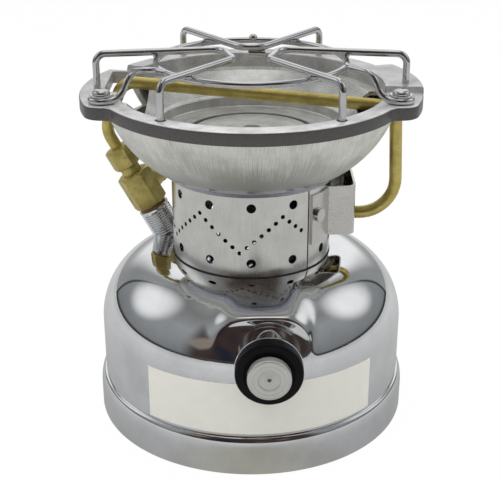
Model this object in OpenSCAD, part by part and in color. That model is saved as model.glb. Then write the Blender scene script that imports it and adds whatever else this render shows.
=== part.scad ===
// Single-burner gasoline camping stove: a round pressed-steel tank with a hand pump in front,
// a pierced collar on top, an aluminium burner bowl and a bent-wire pot grate.
// Millimetres. +Z up, origin under the middle of the tank, -Y towards the pump.

/* [Tank] */
// Outer radius of the tank wall
tank_r = 74.5; // [73:0.5:78]
// Thickness of the tank's sheet metal
tank_wall = 1.2; // [1:0.1:1.6]
// Height of the tank's flat top above the table
tank_top = 82; // [80:0.5:88]
// Radius of the tank's rounded shoulder
shoulder_r = 34.5; // [32:0.5:36]
// Thickness of the hoop round the tank's foot
hoop_t = 2.5; // [2:0.1:3.5]
// Height of the hoop's upright face
hoop_h = 12; // [10:0.5:14]
// Height of the rounded shoulder on top of the hoop
hoop_round_h = 7; // [5:0.5:9]
// Height of the tank's floor above the table
floor_z = 6; // [5:0.5:8]
// How far the middle of the floor is pressed up
floor_dish = 2; // [1:0.5:3]

/* [Filler] */
// Direction of the filler from the tank's right-hand side, degrees
filler_az = 69.3; // [60:0.1:80]
// How far the filler stands outside the middle between the collar and the tank's wall
filler_out = 0.6; // [0:0.1:1.5]
// Outer radius of the filler neck
neck_r = 11; // [10:0.5:12]
// Wall of the filler neck
neck_wall = 2; // [1.5:0.1:3]
// Height of the neck above the tank's surface
neck_rise = 16; // [15:0.5:18]
// Wall of the filler cap round the neck
filler_cap_wall = 3.1; // [2.5:0.1:3.5]
// Depth of the cap's skirt below the neck's mouth
filler_skirt = 8.5; // [7:0.5:9]
// Thickness of the cap's top
filler_cap_top = 3; // [2.5:0.5:4]
// Grip flutes round the cap
filler_flutes = 18; // [12:1:24]
// Thickness of the cap's gasket
gasket_t = 1.5; // [1:0.1:2]

/* [Pump] */
// Distance of the pump to the right of the tank's axis
pump_x = 7.8; // [4:0.2:12]
// Height of the pump's axis
pump_z = 57.5; // [56:0.1:59]
// Radius of the plated cup that carries the pump
pump_cup_r = 14.9; // [14.5:0.1:15.5]
// Wall of that cup
pump_cup_wall = 1.2; // [0.8:0.1:1.6]
// How far the face of the pump cap stands out from the tank's wall
pump_stand = 10.7; // [9:0.1:13]
// How far the tank's sheet is drawn out round the cup at the cup's top
boss_rise = 5.5; // [4:0.1:7]
// How far the pump cap stands proud of the cup's lip
pump_cap_proud = 5.8; // [4:0.1:7]
// Depth of the pump cap
pump_cap_t = 15.2; // [14.5:0.1:16]
// Outer radius of the pump barrel
barrel_r = 10.5; // [10:0.1:11]
// Wall of the pump barrel
barrel_wall = 0.9; // [0.7:0.1:1.2]
// Length of the pump barrel
barrel_len = 92; // [88:1:100]
// Radius of the plunger tube
plunger_r = 3.5; // [3:0.1:4]
// Radius of the air stem inside the plunger tube
stem_r = 1.6; // [1.3:0.1:1.8]
// Radius of the pump knob
knob_r = 9.7; // [9:0.1:11]
// Thickness of the pump knob
knob_t = 4.4; // [4.2:0.1:6]
// Space between the pump cap and the knob at rest
knob_gap = 0.4; // [0.4:0.1:2]
// Length of the leather piston cup
leather_len = 8; // [7:0.5:10]

/* [Fuel valve] */
// Distance of the fuel valve to the left of the tank's axis
valve_x = 43; // [42:0.5:45]
// Distance of the fuel valve behind the tank's axis
valve_y = 24; // [22:0.5:25]
// Lean of the fuel valve away from the burner, degrees
valve_lean = 28.5; // [27:0.5:30]
// Radius of the threaded bung in the tank
bung_r = 8; // [7.5:0.1:8.5]
// Height of the bung above the tank
bung_h = 15.2; // [14:0.2:16.4]
// Thickness of the sealing ring on the bung
seal_t = 1.6; // [1:0.1:2]
// Width across flats of the valve body
body_flats = 16; // [15:0.5:17]
// Height of the valve body's hexagon
body_h = 19; // [18:0.2:20]
// Radius of the neck above the hexagon
body_neck_r = 5; // [4.8:0.1:5.5]
// Height of that neck
body_neck_h = 6; // [5:0.5:7]
// Width across flats of the generator nut
gen_nut_flats = 13; // [12.5:0.5:14]
// Height of the generator nut
gen_nut_h = 11; // [10:0.5:12]
// Turn of the control spindle towards the right, degrees
spindle_turn = 25; // [20:1:28]
// Radius of the control spindle
spindle_r = 2.2; // [2:0.1:2.5]
// Distance from the valve's axis to the back of the control wheel
wheel_out = 33; // [32:0.5:38]
// Radius of the control wheel
wheel_r = 12; // [11:0.5:13]
// Thickness of the control wheel
wheel_t = 7; // [6:0.5:8]
// Finger scallops round the control wheel
wheel_scallops = 10; // [8:1:12]

/* [Generator] */
// Radius of the generator tube
gen_r = 3; // [2.6:0.1:3.2]
// Height of the jet above the tank's top
jet_rise = 18; // [17.5:0.25:19]
// Radius of the gas tip
tip_r = 3.7; // [3.6:0.1:4.2]

/* [Collar] */
// Outer radius of the pierced collar
collar_r = 38.4; // [38:0.2:39]
// Sheet thickness of the collar
collar_wall = 0.9; // [0.7:0.1:1.2]
// Height of the collar
collar_h = 43; // [42:0.5:45]
// Air holes in each row of the collar
hole_count = 12; // [8:1:14]
// Radius of the air holes
hole_r = 2.2; // [1.8:0.1:2.4]
// Height of the lower row of air holes above the tank
hole_low = 7.4; // [7:0.1:8]
// Height of the upper row of air holes above the tank
hole_high = 34.5; // [34:0.25:36]
// Radius of the small holes in the zigzag band
dot_r = 1.05; // [0.8:0.05:1.2]
// Height of the zigzag band
band_h = 17; // [14:0.5:18]
// Small holes along one leg of the zigzag
leg_dots = 6; // [4:1:7]

/* [Bracket] */
// Distance from the tank's axis to the bracket's end plate
bracket_reach = 49.5; // [48:0.5:51]
// Width of the bracket between its outer faces
bracket_w = 29; // [27:0.5:31]
// Height of the bracket
bracket_h = 24.5; // [23:0.5:26]
// Sheet thickness of the bracket
bracket_wall = 1; // [0.8:0.1:1.4]
// Angle of the bracket's screws from the jet's axis, degrees
bracket_screw_az = 38; // [36:0.5:39]

/* [Burner] */
// Outer radius of the mixing tube
mixer_r = 9; // [8.5:0.1:9.5]
// Wall of the mixing tube
mixer_wall = 1.4; // [1:0.1:1.8]
// Radius of the burner base
burner_r = 31.5; // [31:0.25:33]
// Height of the burner base
burner_h = 14; // [13:0.5:15]
// Radius of the burner rings
ring_pack_r = 28; // [27:0.25:28.5]
// Number of rings in the pack
ring_pack_n = 7; // [5:2:9]
// Width of the flame's gap round the burner cap
flame_gap = 1; // [0.8:0.1:1.4]
// Thickness of the burner cap
burner_cap_t = 1.5; // [1.2:0.1:2]
// Radius of the raised middle of the burner cap
cap_dome_r = 11; // [10:0.5:12]

/* [Bowl] */
// Outer radius of the bowl's rim
rim_r = 70.9; // [70:0.1:72]
// Thickness of the rim
rim_h = 6; // [5:0.25:7]
// Width of the rim's flat top
rim_w = 8.9; // [8:0.1:9.9]
// Height of the bowl above the collar
bowl_h = 37; // [36:0.5:38]
// Wall of the bowl
bowl_wall = 2.2; // [1.8:0.1:2.6]
// Radius of the curve of the bowl's side
bowl_curve_r = 52; // [48:1:60]
// Height of the step on the rear half of the rim
rim_step = 2.5; // [2:0.25:3]
// How far the side lugs stand out from the rim
lug_out = 8.6; // [8:0.1:9.5]
// How far the screw ears' axes lie inside the rim's edge, sideways
ear_in = 4.4; // [3.9:0.1:4.9]
// Distance of the screw ears in front of the axis
ear_y = 25; // [24:0.5:26]
// Radius of the hollow between each screw ear and the rim
ear_hollow = 6; // [4:0.5:8]
// Thickness of the drip pan
pan_wall = 1; // [0.8:0.1:1.3]
// Depth of the drip pan below the rim's underside
pan_depth = 15; // [14:0.5:15.5]
// Radius of the drip pan's flat floor
pan_floor_r = 44; // [43:0.5:45]

/* [Grate] */
// Radius of the wire of the grate's fingers
finger_wire_r = 1.65; // [1.5:0.05:1.8]
// Height of the finger wires' middle above the front rim
grate_rise = 16; // [15:0.5:18]
// Radius of the wire of the grate's ring
ring_wire_r = 1.5; // [1.3:0.05:1.6]
// Radius of the grate's ring
ring_r = 44; // [43.5:0.25:44.5]
// Distance of the fingers' pointed ends from the axis
tip_gap = 9; // [8:0.5:11]
// How far the side feet stand outside the rim's edge
side_foot_out = 0.9; // [0.6:0.1:1.6]
// How far the front feet stand inside the rim's edge
front_foot_in = 5.9; // [4.9:0.1:6.4]
// How far the rear feet stand inside the rim's edge
rear_foot_in = 4.4; // [3.9:0.1:5.9]
// Depth of the feet in the rim
foot_depth = 3; // [2:0.25:4]
// Radius of the eyes round the grate's screws
eye_r = 4.8; // [4.6:0.1:5.2]
// Radius of the grate's screws
grate_screw_r = 2.2; // [2:0.1:2.5]

/* [Hidden] */

$fn = 64;
// Gap between pieces that are pressed, soldered or screwed together
seam = 0.05;
// Gap round a shaft or piston that moves
slide_gap = 0.08;
// How far a cutter reaches past the face it cuts
past = 2;
// Sides of a bent wire, and points round each of its bends
wire_sides = 12;
bend_steps = 6;

// Tank: the rounded shoulder is a quarter circle between the flat top and the wall
crown_r = tank_r - shoulder_r;
shoulder_z = tank_top - shoulder_r;
floor_top = floor_z + tank_wall;
hoop_r = tank_r + seam + hoop_t;
hoop_edge = 1;
hoop_lip = 0.5;
dish_r = 48;
dish_slope = 4;

// Filler: an upright neck on the rear shoulder
filler_d = (collar_r + tank_r) / 2 + filler_out;
neck_top = dome_z(filler_d) + neck_rise;
neck_dip = 3;
neck_low = dome_z(filler_d + neck_r) - neck_dip;
filler_clear = 0.4;
filler_cap_r = neck_r + filler_clear + filler_cap_wall;
filler_cap_low = neck_top - filler_skirt;
filler_cap_high = neck_top + gasket_t + filler_cap_top;
filler_screw_r = 2;
filler_screw_head = 4;
filler_screw_h = 2;
filler_washer_t = 2;
flute_r = 1.1;

// Pump: everything lies along one axis parallel to Y, and d counts forwards from the tank's axis
pump_face = tank_r + pump_stand;
cup_lip = pump_face - pump_cap_proud;
cup_back = pump_face - pump_cap_t;
cup_back_t = 1.5;
cup_dip = 5;
cup_top = dome_r(pump_z + pump_cup_r);
cup_in = cup_top - cup_dip;
cup_bead = 0.4;
boss_front = cup_top + boss_rise;
boss_r = pump_cup_r + seam + tank_wall;
pump_flange_r = pump_cup_r + cup_bead / 2;
pump_edge = 1.2;
pump_cap_r = pump_cup_r - pump_cup_wall - seam;
barrel_bore_r = barrel_r - barrel_wall;
barrel_seat = 2;
barrel_front = cup_back + barrel_seat;
barrel_back = barrel_front - barrel_len;
valve_plug = 6;
valve_nose = 14;
valve_nose_r = 5;
valve_flange = 2;
piston_room = 4;
leather_back = barrel_back + valve_plug + piston_room;
leather_front = leather_back + leather_len;
leather_wall = 1.4;
piston_nut_t = 3;
piston_nut_flats = 11;
plunger_short = 1;
plunger_back = leather_back + plunger_short;
knob_back = pump_face + knob_gap;
knob_front = knob_back + knob_t;
knob_edge = 0.9;
knob_dish_r = 4.5;
knob_dish = 1;
thumb_hole_r = 0.9;
thumb_hole = 1.2;
knob_web = 0.6;
plunger_front = knob_front - knob_dish - thumb_hole - knob_web;
plunger_bore_r = stem_r + slide_gap;
stem_room = 1;
stem_front = knob_back - 2 * stem_room;
stem_seat = 3;
stem_well = barrel_back - valve_nose + stem_seat;
stem_back = stem_well + stem_room;
grip_marks = 3;
grip_mark_w = 1.2;
grip_mark_d = 0.5;

// Fuel valve: its own axis leans to the left from the tank's surface, and s counts along it
valve_z = dome_z(norm([valve_x, valve_y]));
bung_in = 6;
bung_wall = 2.5;
thread_r = bung_r - bung_wall;
seal_inset = 1;
seal_s = bung_h;
body_s = seal_s + seal_t;
body_top = body_s + body_h;
gen_nut_lap = 2;
gen_nut_s = body_top + body_neck_h - gen_nut_lap;
gen_nut_top = gen_nut_s + gen_nut_h;
spindle_s = body_s + body_h / 2;
side_boss_r = 6;
side_boss = 15;
pack_flats = 11;
pack_out = 8;
spindle_in = 6;
spindle_room = 1;
spindle_out = wheel_out + wheel_t;
wheel_hub_r = 5;
wheel_rim = 3;
wheel_web = 3.5;
scallop_r = 2.6;
scallop_in = 1.1;
wheel_screw_head = 3.6;
wheel_screw_h = 2;
wheel_screw_r = 1.2;
wheel_screw_room = 1;
pickup_r = 2.4;
pickup_up = 6;
pickup_clear = 5;
pickup_len = (valve_z - floor_top - floor_dish - pickup_clear) / cos(valve_lean);

// Levels above the tank
jet_z = tank_top + jet_rise;
collar_top = tank_top + collar_h;
bowl_floor = collar_top + bowl_wall;
rim_top = collar_top + bowl_h;
rim_low = rim_top - rim_h;
rear_top = rim_top + rim_step;
finger_z = rim_top + grate_rise;
ring_z = finger_z - finger_wire_r - ring_wire_r - seam;

// Collar and bracket
collar_in_r = collar_r - collar_wall;
collar_ring_h = 5;
collar_ring_t = 1.5;
collar_slit_az = -46.5;
collar_slit = 0.8;
window_side = 1.5;
bracket_drop = 6;
bracket_low = jet_z - bracket_drop;
bracket_screw_up = 14.3;
bracket_screw_z = bracket_low + bracket_screw_up;
flange_az = 44;
bracket_corner = 4.5;
bracket_screw_r = 1.5;
bracket_screw_head = 3.2;
bracket_screw_h = 1.8;
bracket_screw_in = 4;
band_low = (hole_low + hole_high - band_h) / 2;
band_from = 52;
band_to = 308;
leg_az = 360 / hole_count;

// Bowl: the side is an arc from the skirt on the collar up to the rim
skirt_h = 2.5;
skirt_t = 2.6;
skirt_low_az = -60;
skirt_high_az = 30;
skirt_r = collar_r + seam + skirt_t;
bowl_flare = 2.3;
bowl_foot_r = skirt_r + bowl_flare;
rim_overhang = 3;
bowl_top_r = rim_r - rim_overhang;
rim_edge = 0.6;
rim_in_r = rim_r - rim_w;
lip_slope = 4;
lip_r = rim_in_r - lip_slope;
lip_t = 0.8;
floor_fillet = 1;
lug_r = rim_r + lug_out;
lug_root = 1;
lug_from_az = 152;
step_from_az = -6;
step_to_az = 150;
step_lug_az = 26;
step_ledge = 1.2;
step_root = 1;
ear_x = rim_r - ear_in;
ear_d = norm([ear_x, ear_y]);
ear_r = lug_r - ear_d;
ear_step = 10;
ear_az = 180 + atan2(ear_y, ear_x);
slot_skin = 2.5;
slot_w = 18.4;
slot_out = rim_r - slot_skin;
slot_in = slot_out - slot_w;
slot_left_front = 7;
slot_left_back = 32;
slot_right_front = 11;
slot_right_back = 13;
slot_depth = 11;
slot_low = rim_low - slot_depth;
hole_clear = 0.1;
ear_hole_r = grate_screw_r + hole_clear;
foot_hole_r = finger_wire_r + hole_clear;
pan_floor = rim_low - pan_depth;
pan_step = 5;
pan_ledge = 2;
pan_lap = 1;
pan_top_r = rim_in_r + pan_lap;

// Burner
mixer_bend = 14;
mixer_mouth = 36;
mixer_lap = 6;
mixer_top = bowl_floor + mixer_lap;
bridge_w = 5;
bridge_h = 4;
burner_wall = 1.5;
burner_floor = 4;
ring_pack_in = 11;
ring_pack_low = bowl_floor + burner_floor;
burner_cap_r = burner_r - burner_wall - flame_gap;
cap_sink = 1.4;
burner_cap_low = bowl_floor + burner_h - cap_sink;
ring_t = (burner_cap_low - ring_pack_low) / ring_pack_n;
ring_recess = 1.2;
cap_dome_h = 0.8;
cap_edge = 0.5;
burner_screw_r = 2;
burner_screw_head = 4.5;
burner_screw_h = 0.8;

// Grate
tip_az = [210, 330, 90];
front_az = 234;
rear_az = 31.5;
side_foot_r = rim_r + side_foot_out;
front_foot_r = rim_r - front_foot_in;
rear_foot_r = rim_r - rear_foot_in;
foot_bend = 4.5;
tip_bend = 5;
foot_z = rim_top - foot_depth;
eye_z = rim_top + ring_wire_r + seam;
arm_bend = 8;
arm_out = 7;
arm_lean = 5;
eye_leave_az = 29;
eye_sweep_az = 270;
eye_steps = 18;
ring_steps = 28;
front_span_az = [200, 341];
rear_span_az = [-5, 187];
run_in = 8;
washer_t = 0.8;
washer_r = 5.2;
washer_z = eye_z + ring_wire_r + seam;
dome_head_r = 4;
dome_head_h = 2.4;
dome_head_edge = 0.6;

// Generator route: up from the valve, across under the rim's top and down to the jet
tip_hex = 8;
tip_hex_t = 2.5;
tip_shank = 2.5;
tip_nose = 3;
jet_r = 0.6;
gen_climb = 11;
gen_step_y = 5;
gen_left_in = 8.9;
gen_left_dip = 1.8;
gen_right_in = 2.9;
gen_right_dip = 9;
gen_foot_run = 22;
gen_rise = valve_point(gen_nut_top + gen_climb);
gen_left = [gen_left_in - rim_r, valve_y - gen_step_y, rim_top - gen_left_dip];
gen_right = [rim_r - gen_right_in, 0, rim_top - gen_right_dip];
gen_end = [bracket_reach - bracket_wall - seam, 0, jet_z];
gen_drop = [gen_end.x + gen_foot_run, 0, jet_z];
gen_rise_bend = 12;
gen_left_bend = 9;
gen_right_bend = 8;
gen_drop_bend = 17;
gen_bends = [gen_rise_bend, gen_left_bend, gen_right_bend, gen_drop_bend];

// Height of the tank's shoulder at a distance from the axis, and the reverse
function dome_z(r) = shoulder_z + sqrt(pow(shoulder_r, 2) - pow(r - crown_r, 2));
function dome_r(z) = crown_r + sqrt(pow(shoulder_r, 2) - pow(z - shoulder_z, 2));
// A point at s along the leaning axis of the fuel valve
function valve_point(s) = [-valve_x - s * sin(valve_lean), valve_y, valve_z + s * cos(valve_lean)];
function polar(r, az, z) = [r * cos(az), r * sin(az), z];
function unit(v) = v / norm(v);
// Points of an arc about a centre
function arc(c, r, from, to, n) =
  [for (i = [0:n]) let (a = from + (to - from) * i / n) c + r * [cos(a), sin(a)]];
// Centre of an arc of radius r that swells to the right on its way from a to b
function arc_centre(a, b, r) =
  let (d = b - a, half = norm(d) / 2, right = [d.y, -d.x] / norm(d))
  (a + b) / 2 - right * sqrt(r * r - half * half);
function heading(v) = atan2(v.y, v.x);
function reversed(list) = [for (i = [len(list) - 1:-1:0]) list[i]];
// Angle through which a wire turns at q, and how far before q it starts to turn
function turn(p, q, s) = acos(max(-1, min(1, unit(q - p) * unit(s - q))));
function setback(p, q, s, r) = r * tan(turn(p, q, s) / 2);

// Points round the bend of a wire at q
function bend_points(p, q, s, bend) =
  let (
    u = unit(q - p),
    v = unit(s - q),
    side = unit(v - u * (u * v)),
    centre = q - u * setback(p, q, s, bend) + side * bend
  )
  [for (i = [0:bend_steps])
    let (a = turn(p, q, s) * i / bend_steps) centre + bend * (u * sin(a) - side * cos(a))];
// Points of a wire bent along a list of corners, with one bend radius per inner corner
function bent_route(pts, bends) = [
  pts[0],
  for (i = [1:len(pts) - 2]) each bend_points(pts[i - 1], pts[i], pts[i + 1], bends[i - 1]),
  pts[len(pts) - 1]
];
// Points of a level arc of wire
function level_arc(c, r, from, to, steps) =
  [for (i = [0:steps]) let (a = from + (to - from) * i / steps) c + [r * cos(a), r * sin(a), 0]];
// Direction of a wire at its point i, halfway between the stretches before and after it
function along(pts, i) =
  let (
    before = pts[max(i, 1)] - pts[max(i, 1) - 1],
    after = pts[min(i + 1, len(pts) - 1)] - pts[min(i, len(pts) - 2)]
  )
  unit(unit(before) + unit(after));
function across(d) = unit(cross(abs(d.z) < 0.9 ? [0, 0, 1] : [1, 0, 0], d));
function less_along(n, d) = unit(n - d * (n * d));

// A round wire swept along points, with its section carried on without twist
module wire(pts, r) {
  last = len(pts) - 1;
  d = [for (i = [0:last]) along(pts, i)];
  n = [for (i = 0, m = across(d[0]); i <= last; i = i + 1, m = i <= last ? less_along(m, d[i]) : m) m];
  rings = [for (i = [0:last]) for (k = [0:wire_sides - 1])
    let (a = 360 * k / wire_sides) pts[i] + r * (n[i] * cos(a) + cross(d[i], n[i]) * sin(a))];
  sides = [for (i = [0:last - 1]) for (k = [0:wire_sides - 1])
    let (j = (k + 1) % wire_sides, o = i * wire_sides, p = o + wire_sides)
    each [[o + k, p + k, p + j], [o + k, p + j, o + j]]];
  polyhedron(rings, concat(
    [[for (k = [0:wire_sides - 1]) k]],
    sides,
    [[for (k = [wire_sides - 1:-1:0]) last * wire_sides + k]]
  ));
}

module tube(r, bore, low, high) {
  translate([0, 0, low]) difference() {
    cylinder(r = r, h = high - low);
    translate([0, 0, -past]) cylinder(r = bore, h = high - low + 2 * past);
  }
}

module hexagon(flats, low, high) {
  translate([0, 0, low]) cylinder(r = flats / 2 / cos(30), h = high - low, $fn = 6);
}

// Places a child that is drawn along +Z on the pump's axis, with +Z towards the front
module on_pump() {
  translate([pump_x, 0, pump_z]) rotate([90, 0, 0]) children();
}

// Places a child on the leaning axis of the fuel valve
module on_valve() {
  translate([-valve_x, valve_y, valve_z]) rotate([0, -valve_lean, 0]) children();
}

// Places a child on the control spindle, with +Z towards the wheel
module on_spindle() {
  on_valve() translate([0, 0, spindle_s]) rotate([0, 0, -spindle_turn]) rotate([-90, 0, 0]) children();
}

module on_filler() {
  translate(polar(filler_d, filler_az, 0)) children();
}

// Tank
module fount_shell() {
  color("gainsboro") difference() {
    union() {
      tank_form(0, floor_top);
      on_pump() cylinder(r = boss_r, h = boss_front);
    }
    tank_form(tank_wall, floor_top - past);
    on_pump() cylinder(r = pump_cup_r + seam, h = pump_face);
    on_valve() translate([0, 0, -bung_in - past]) cylinder(r = bung_r + seam, h = bung_in + bung_h);
    on_filler() translate([0, 0, neck_low]) cylinder(r = neck_r + seam, h = neck_top - neck_low);
  }
}

// The tank as a solid from a height up, smaller by an inset
module tank_form(inset, low) {
  rotate_extrude($fn = 128) polygon(concat(
    [[0, low], [tank_r - inset, low]],
    arc([crown_r, shoulder_z], shoulder_r - inset, 0, 90, 20),
    [[0, tank_top - inset]]
  ));
}

module fount_base() {
  inner = tank_r + seam;
  shoulder = hoop_h + hoop_round_h;
  round_w = hoop_t - hoop_lip;
  color("gainsboro") rotate_extrude($fn = 128) polygon(concat(
    arc([hoop_r - hoop_edge, hoop_edge], hoop_edge, -90, 0, 4),
    [for (a = [0:15:90]) [inner + hoop_lip + round_w * cos(a), hoop_h + hoop_round_h * sin(a)]],
    [[inner, shoulder], [inner, floor_top], [dish_r + dish_slope, floor_top]],
    [[dish_r, floor_top + floor_dish], [0, floor_top + floor_dish], [0, floor_z + floor_dish]],
    [[dish_r, floor_z + floor_dish], [dish_r + dish_slope, floor_z], [inner - hoop_t, floor_z]],
    [[inner - hoop_t, 0]]
  ));
}

module collar_ring() {
  outer = collar_in_r - seam;
  color("silver") tube(outer, outer - collar_ring_t, tank_top, tank_top + collar_ring_h);
}

// Filler
module filler_neck() {
  color("darkkhaki") on_filler() tube(neck_r, neck_r - neck_wall, neck_low, neck_top);
}

module filler_cap() {
  color("silver") on_filler() difference() {
    translate([0, 0, filler_cap_low]) cylinder(r = filler_cap_r, h = filler_cap_high - filler_cap_low);
    translate([0, 0, filler_cap_low - past])
      cylinder(r = neck_r + filler_clear, h = neck_top + gasket_t - filler_cap_low + past);
    translate([0, 0, neck_top]) cylinder(r = filler_screw_r + seam, h = filler_cap_high);
    for (i = [0:filler_flutes - 1]) rotate(360 / filler_flutes * i)
      translate([filler_cap_r + flute_r / 2, 0, filler_cap_low - past])
        cylinder(r = flute_r, h = filler_cap_high, $fn = 24);
  }
}

module filler_gasket() {
  color("dimgray") on_filler() tube(neck_r, filler_screw_r + seam, neck_top, neck_top + gasket_t);
}

module filler_screw() {
  color("silver") on_filler() {
    translate([0, 0, neck_top - filler_washer_t])
      cylinder(r = filler_screw_r, h = filler_cap_high - neck_top + filler_washer_t);
    translate([0, 0, filler_cap_high]) cylinder(r = filler_screw_head, h = filler_screw_h);
    translate([0, 0, neck_top - filler_washer_t]) cylinder(r = filler_screw_head, h = filler_washer_t);
  }
}

// Pump
module pump_cup() {
  color("gainsboro") on_pump() difference() {
    union() {
      translate([0, 0, cup_in]) cylinder(r = pump_cup_r, h = cup_lip - cup_in);
      translate([0, 0, cup_lip - 2 * cup_bead]) cylinder(r = pump_cup_r + cup_bead, h = 2 * cup_bead);
    }
    translate([0, 0, cup_back]) cylinder(r = pump_cup_r - pump_cup_wall, h = pump_cap_t + past);
    translate([0, 0, cup_in - past])
      cylinder(r = pump_cup_r - pump_cup_wall, h = cup_back - cup_back_t - cup_in + past);
    translate([0, 0, cup_in]) cylinder(r = barrel_r + seam, h = pump_face);
  }
}

module pump_barrel() {
  color("darkkhaki") on_pump() tube(barrel_r, barrel_bore_r, barrel_back, barrel_front);
}

module pump_cap() {
  bore = plunger_r + slide_gap;
  socket = barrel_r + seam;
  color("black") on_pump() difference() {
    rotate_extrude() polygon(concat(
      [[bore, barrel_front], [socket, barrel_front], [socket, cup_back], [pump_cap_r, cup_back]],
      [[pump_cap_r, cup_lip + seam], [pump_flange_r, cup_lip + seam]],
      arc([pump_flange_r - pump_edge, pump_face - pump_edge], pump_edge, 0, 90, 4),
      [[bore, pump_face]]
    ));
    for (i = [0:grip_marks - 1]) rotate(90 + 360 / grip_marks * i)
      translate([knob_r, -grip_mark_w / 2, pump_face - grip_mark_d])
        cube([pump_flange_r, grip_mark_w, past]);
  }
}

module check_valve() {
  color("darkkhaki") on_pump() difference() {
    union() {
      translate([0, 0, barrel_back]) cylinder(r = barrel_bore_r - seam, h = valve_plug);
      translate([0, 0, barrel_back - valve_nose]) cylinder(r = valve_nose_r, h = valve_nose);
      translate([0, 0, barrel_back - valve_flange]) cylinder(r = barrel_r, h = valve_flange);
    }
    translate([0, 0, stem_well]) cylinder(r = stem_r + slide_gap, h = valve_nose + valve_plug + past);
    translate([0, 0, barrel_back - valve_nose - past]) cylinder(r = stem_r / 2, h = valve_nose);
  }
}

module air_stem() {
  color("silver") on_pump() translate([0, 0, stem_back])
    cylinder(r = stem_r, h = stem_front - stem_back);
}

module plunger_tube() {
  color("silver") on_pump() difference() {
    translate([0, 0, plunger_back]) cylinder(r = plunger_r, h = plunger_front - plunger_back);
    translate([0, 0, plunger_back - past])
      cylinder(r = plunger_bore_r, h = stem_front + stem_room - plunger_back + past);
  }
}

module pump_knob() {
  bore = plunger_r + seam;
  dish_floor = knob_front - knob_dish;
  color("lightgray") on_pump() rotate_extrude() polygon(concat(
    [[bore, knob_back], [knob_r, knob_back]],
    arc([knob_r - knob_edge, knob_front - knob_edge], knob_edge, 0, 90, 4),
    [[knob_dish_r, knob_front], [knob_dish_r, dish_floor], [thumb_hole_r, dish_floor]],
    [[thumb_hole_r, dish_floor - thumb_hole], [0, dish_floor - thumb_hole], [0, plunger_front]],
    [[bore, plunger_front]]
  ));
}

module piston_leather() {
  outer = barrel_bore_r - slide_gap;
  color("saddlebrown") on_pump() difference() {
    translate([0, 0, leather_back]) cylinder(r = outer, h = leather_len);
    translate([0, 0, leather_back - past])
      cylinder(r = outer - leather_wall, h = leather_len - leather_wall + past);
    translate([0, 0, leather_back]) cylinder(r = plunger_r + seam, h = leather_len + past);
  }
}

module piston_nut() {
  low = leather_front - leather_wall - piston_nut_t;
  color("darkkhaki") on_pump() difference() {
    hexagon(piston_nut_flats, low, low + piston_nut_t);
    translate([0, 0, low - past]) cylinder(r = plunger_r + seam, h = piston_nut_t + 2 * past);
  }
}

// Fuel valve
module valve_bung() {
  color("gainsboro") on_valve() tube(bung_r, thread_r + seam, -bung_in, bung_h);
}

module valve_seal() {
  color("saddlebrown") on_valve() tube(bung_r - seal_inset, thread_r + seam, seal_s, seal_s + seal_t);
}

module valve_body() {
  color("darkgoldenrod") difference() {
    union() {
      on_valve() {
        translate([0, 0, -bung_in]) cylinder(r = thread_r, h = body_s + bung_in);
        hexagon(body_flats, body_s, body_top);
        translate([0, 0, body_top]) cylinder(r = body_neck_r, h = body_neck_h);
      }
      on_spindle() cylinder(r = side_boss_r, h = side_boss);
    }
    on_valve() translate([0, 0, -bung_in - past])
      cylinder(r = pickup_r + seam, h = bung_in + pickup_up + past);
    on_spindle() translate([0, 0, spindle_in - spindle_room])
      cylinder(r = spindle_r + slide_gap, h = side_boss);
  }
}

module packing_nut() {
  color("darkgoldenrod") on_spindle() difference() {
    hexagon(pack_flats, side_boss, side_boss + pack_out);
    translate([0, 0, side_boss - past]) cylinder(r = spindle_r + slide_gap, h = pack_out + 2 * past);
  }
}

module valve_spindle() {
  color("darkgoldenrod") on_spindle() difference() {
    translate([0, 0, spindle_in]) cylinder(r = spindle_r, h = spindle_out - spindle_in);
    translate([0, 0, wheel_out]) cylinder(r = wheel_screw_r + seam, h = wheel_t + past);
  }
}

module valve_wheel() {
  color("maroon") on_spindle() difference() {
    union() {
      difference() {
        translate([0, 0, wheel_out]) cylinder(r = wheel_r, h = wheel_t);
        translate([0, 0, wheel_out + wheel_web]) cylinder(r = wheel_r - wheel_rim, h = wheel_t);
      }
      translate([0, 0, wheel_out]) cylinder(r = wheel_hub_r, h = wheel_t);
    }
    translate([0, 0, wheel_out - past]) cylinder(r = spindle_r + seam, h = wheel_t + 2 * past);
    for (i = [0:wheel_scallops - 1]) rotate(360 / wheel_scallops * i)
      translate([wheel_r + scallop_r - scallop_in, 0, wheel_out - past])
        cylinder(r = scallop_r, h = wheel_t + 2 * past, $fn = 32);
  }
}

module wheel_screw() {
  color("silver") on_spindle() {
    translate([0, 0, wheel_out + wheel_screw_room]) cylinder(r = wheel_screw_r, h = wheel_t);
    translate([0, 0, wheel_out + wheel_t]) cylinder(r = wheel_screw_head, h = wheel_screw_h);
  }
}

module fuel_pickup() {
  color("darkkhaki") on_valve() tube(pickup_r, pickup_r / 2, -pickup_len, pickup_up);
}

// Generator
module generator_nut() {
  color("darkgoldenrod") difference() {
    on_valve() hexagon(gen_nut_flats, gen_nut_s, gen_nut_top);
    on_valve() translate([0, 0, gen_nut_s - past])
      cylinder(r = body_neck_r + seam, h = body_top + body_neck_h - gen_nut_s + past);
    on_valve() translate([0, 0, gen_nut_s]) cylinder(r = gen_r + seam, h = gen_nut_h + past);
  }
}

module generator_tube() {
  start = valve_point(body_top + body_neck_h + seam);
  color("darkgoldenrod")
    wire(bent_route([start, gen_rise, gen_left, gen_right, gen_drop, gen_end], gen_bends), gen_r);
}

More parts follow.
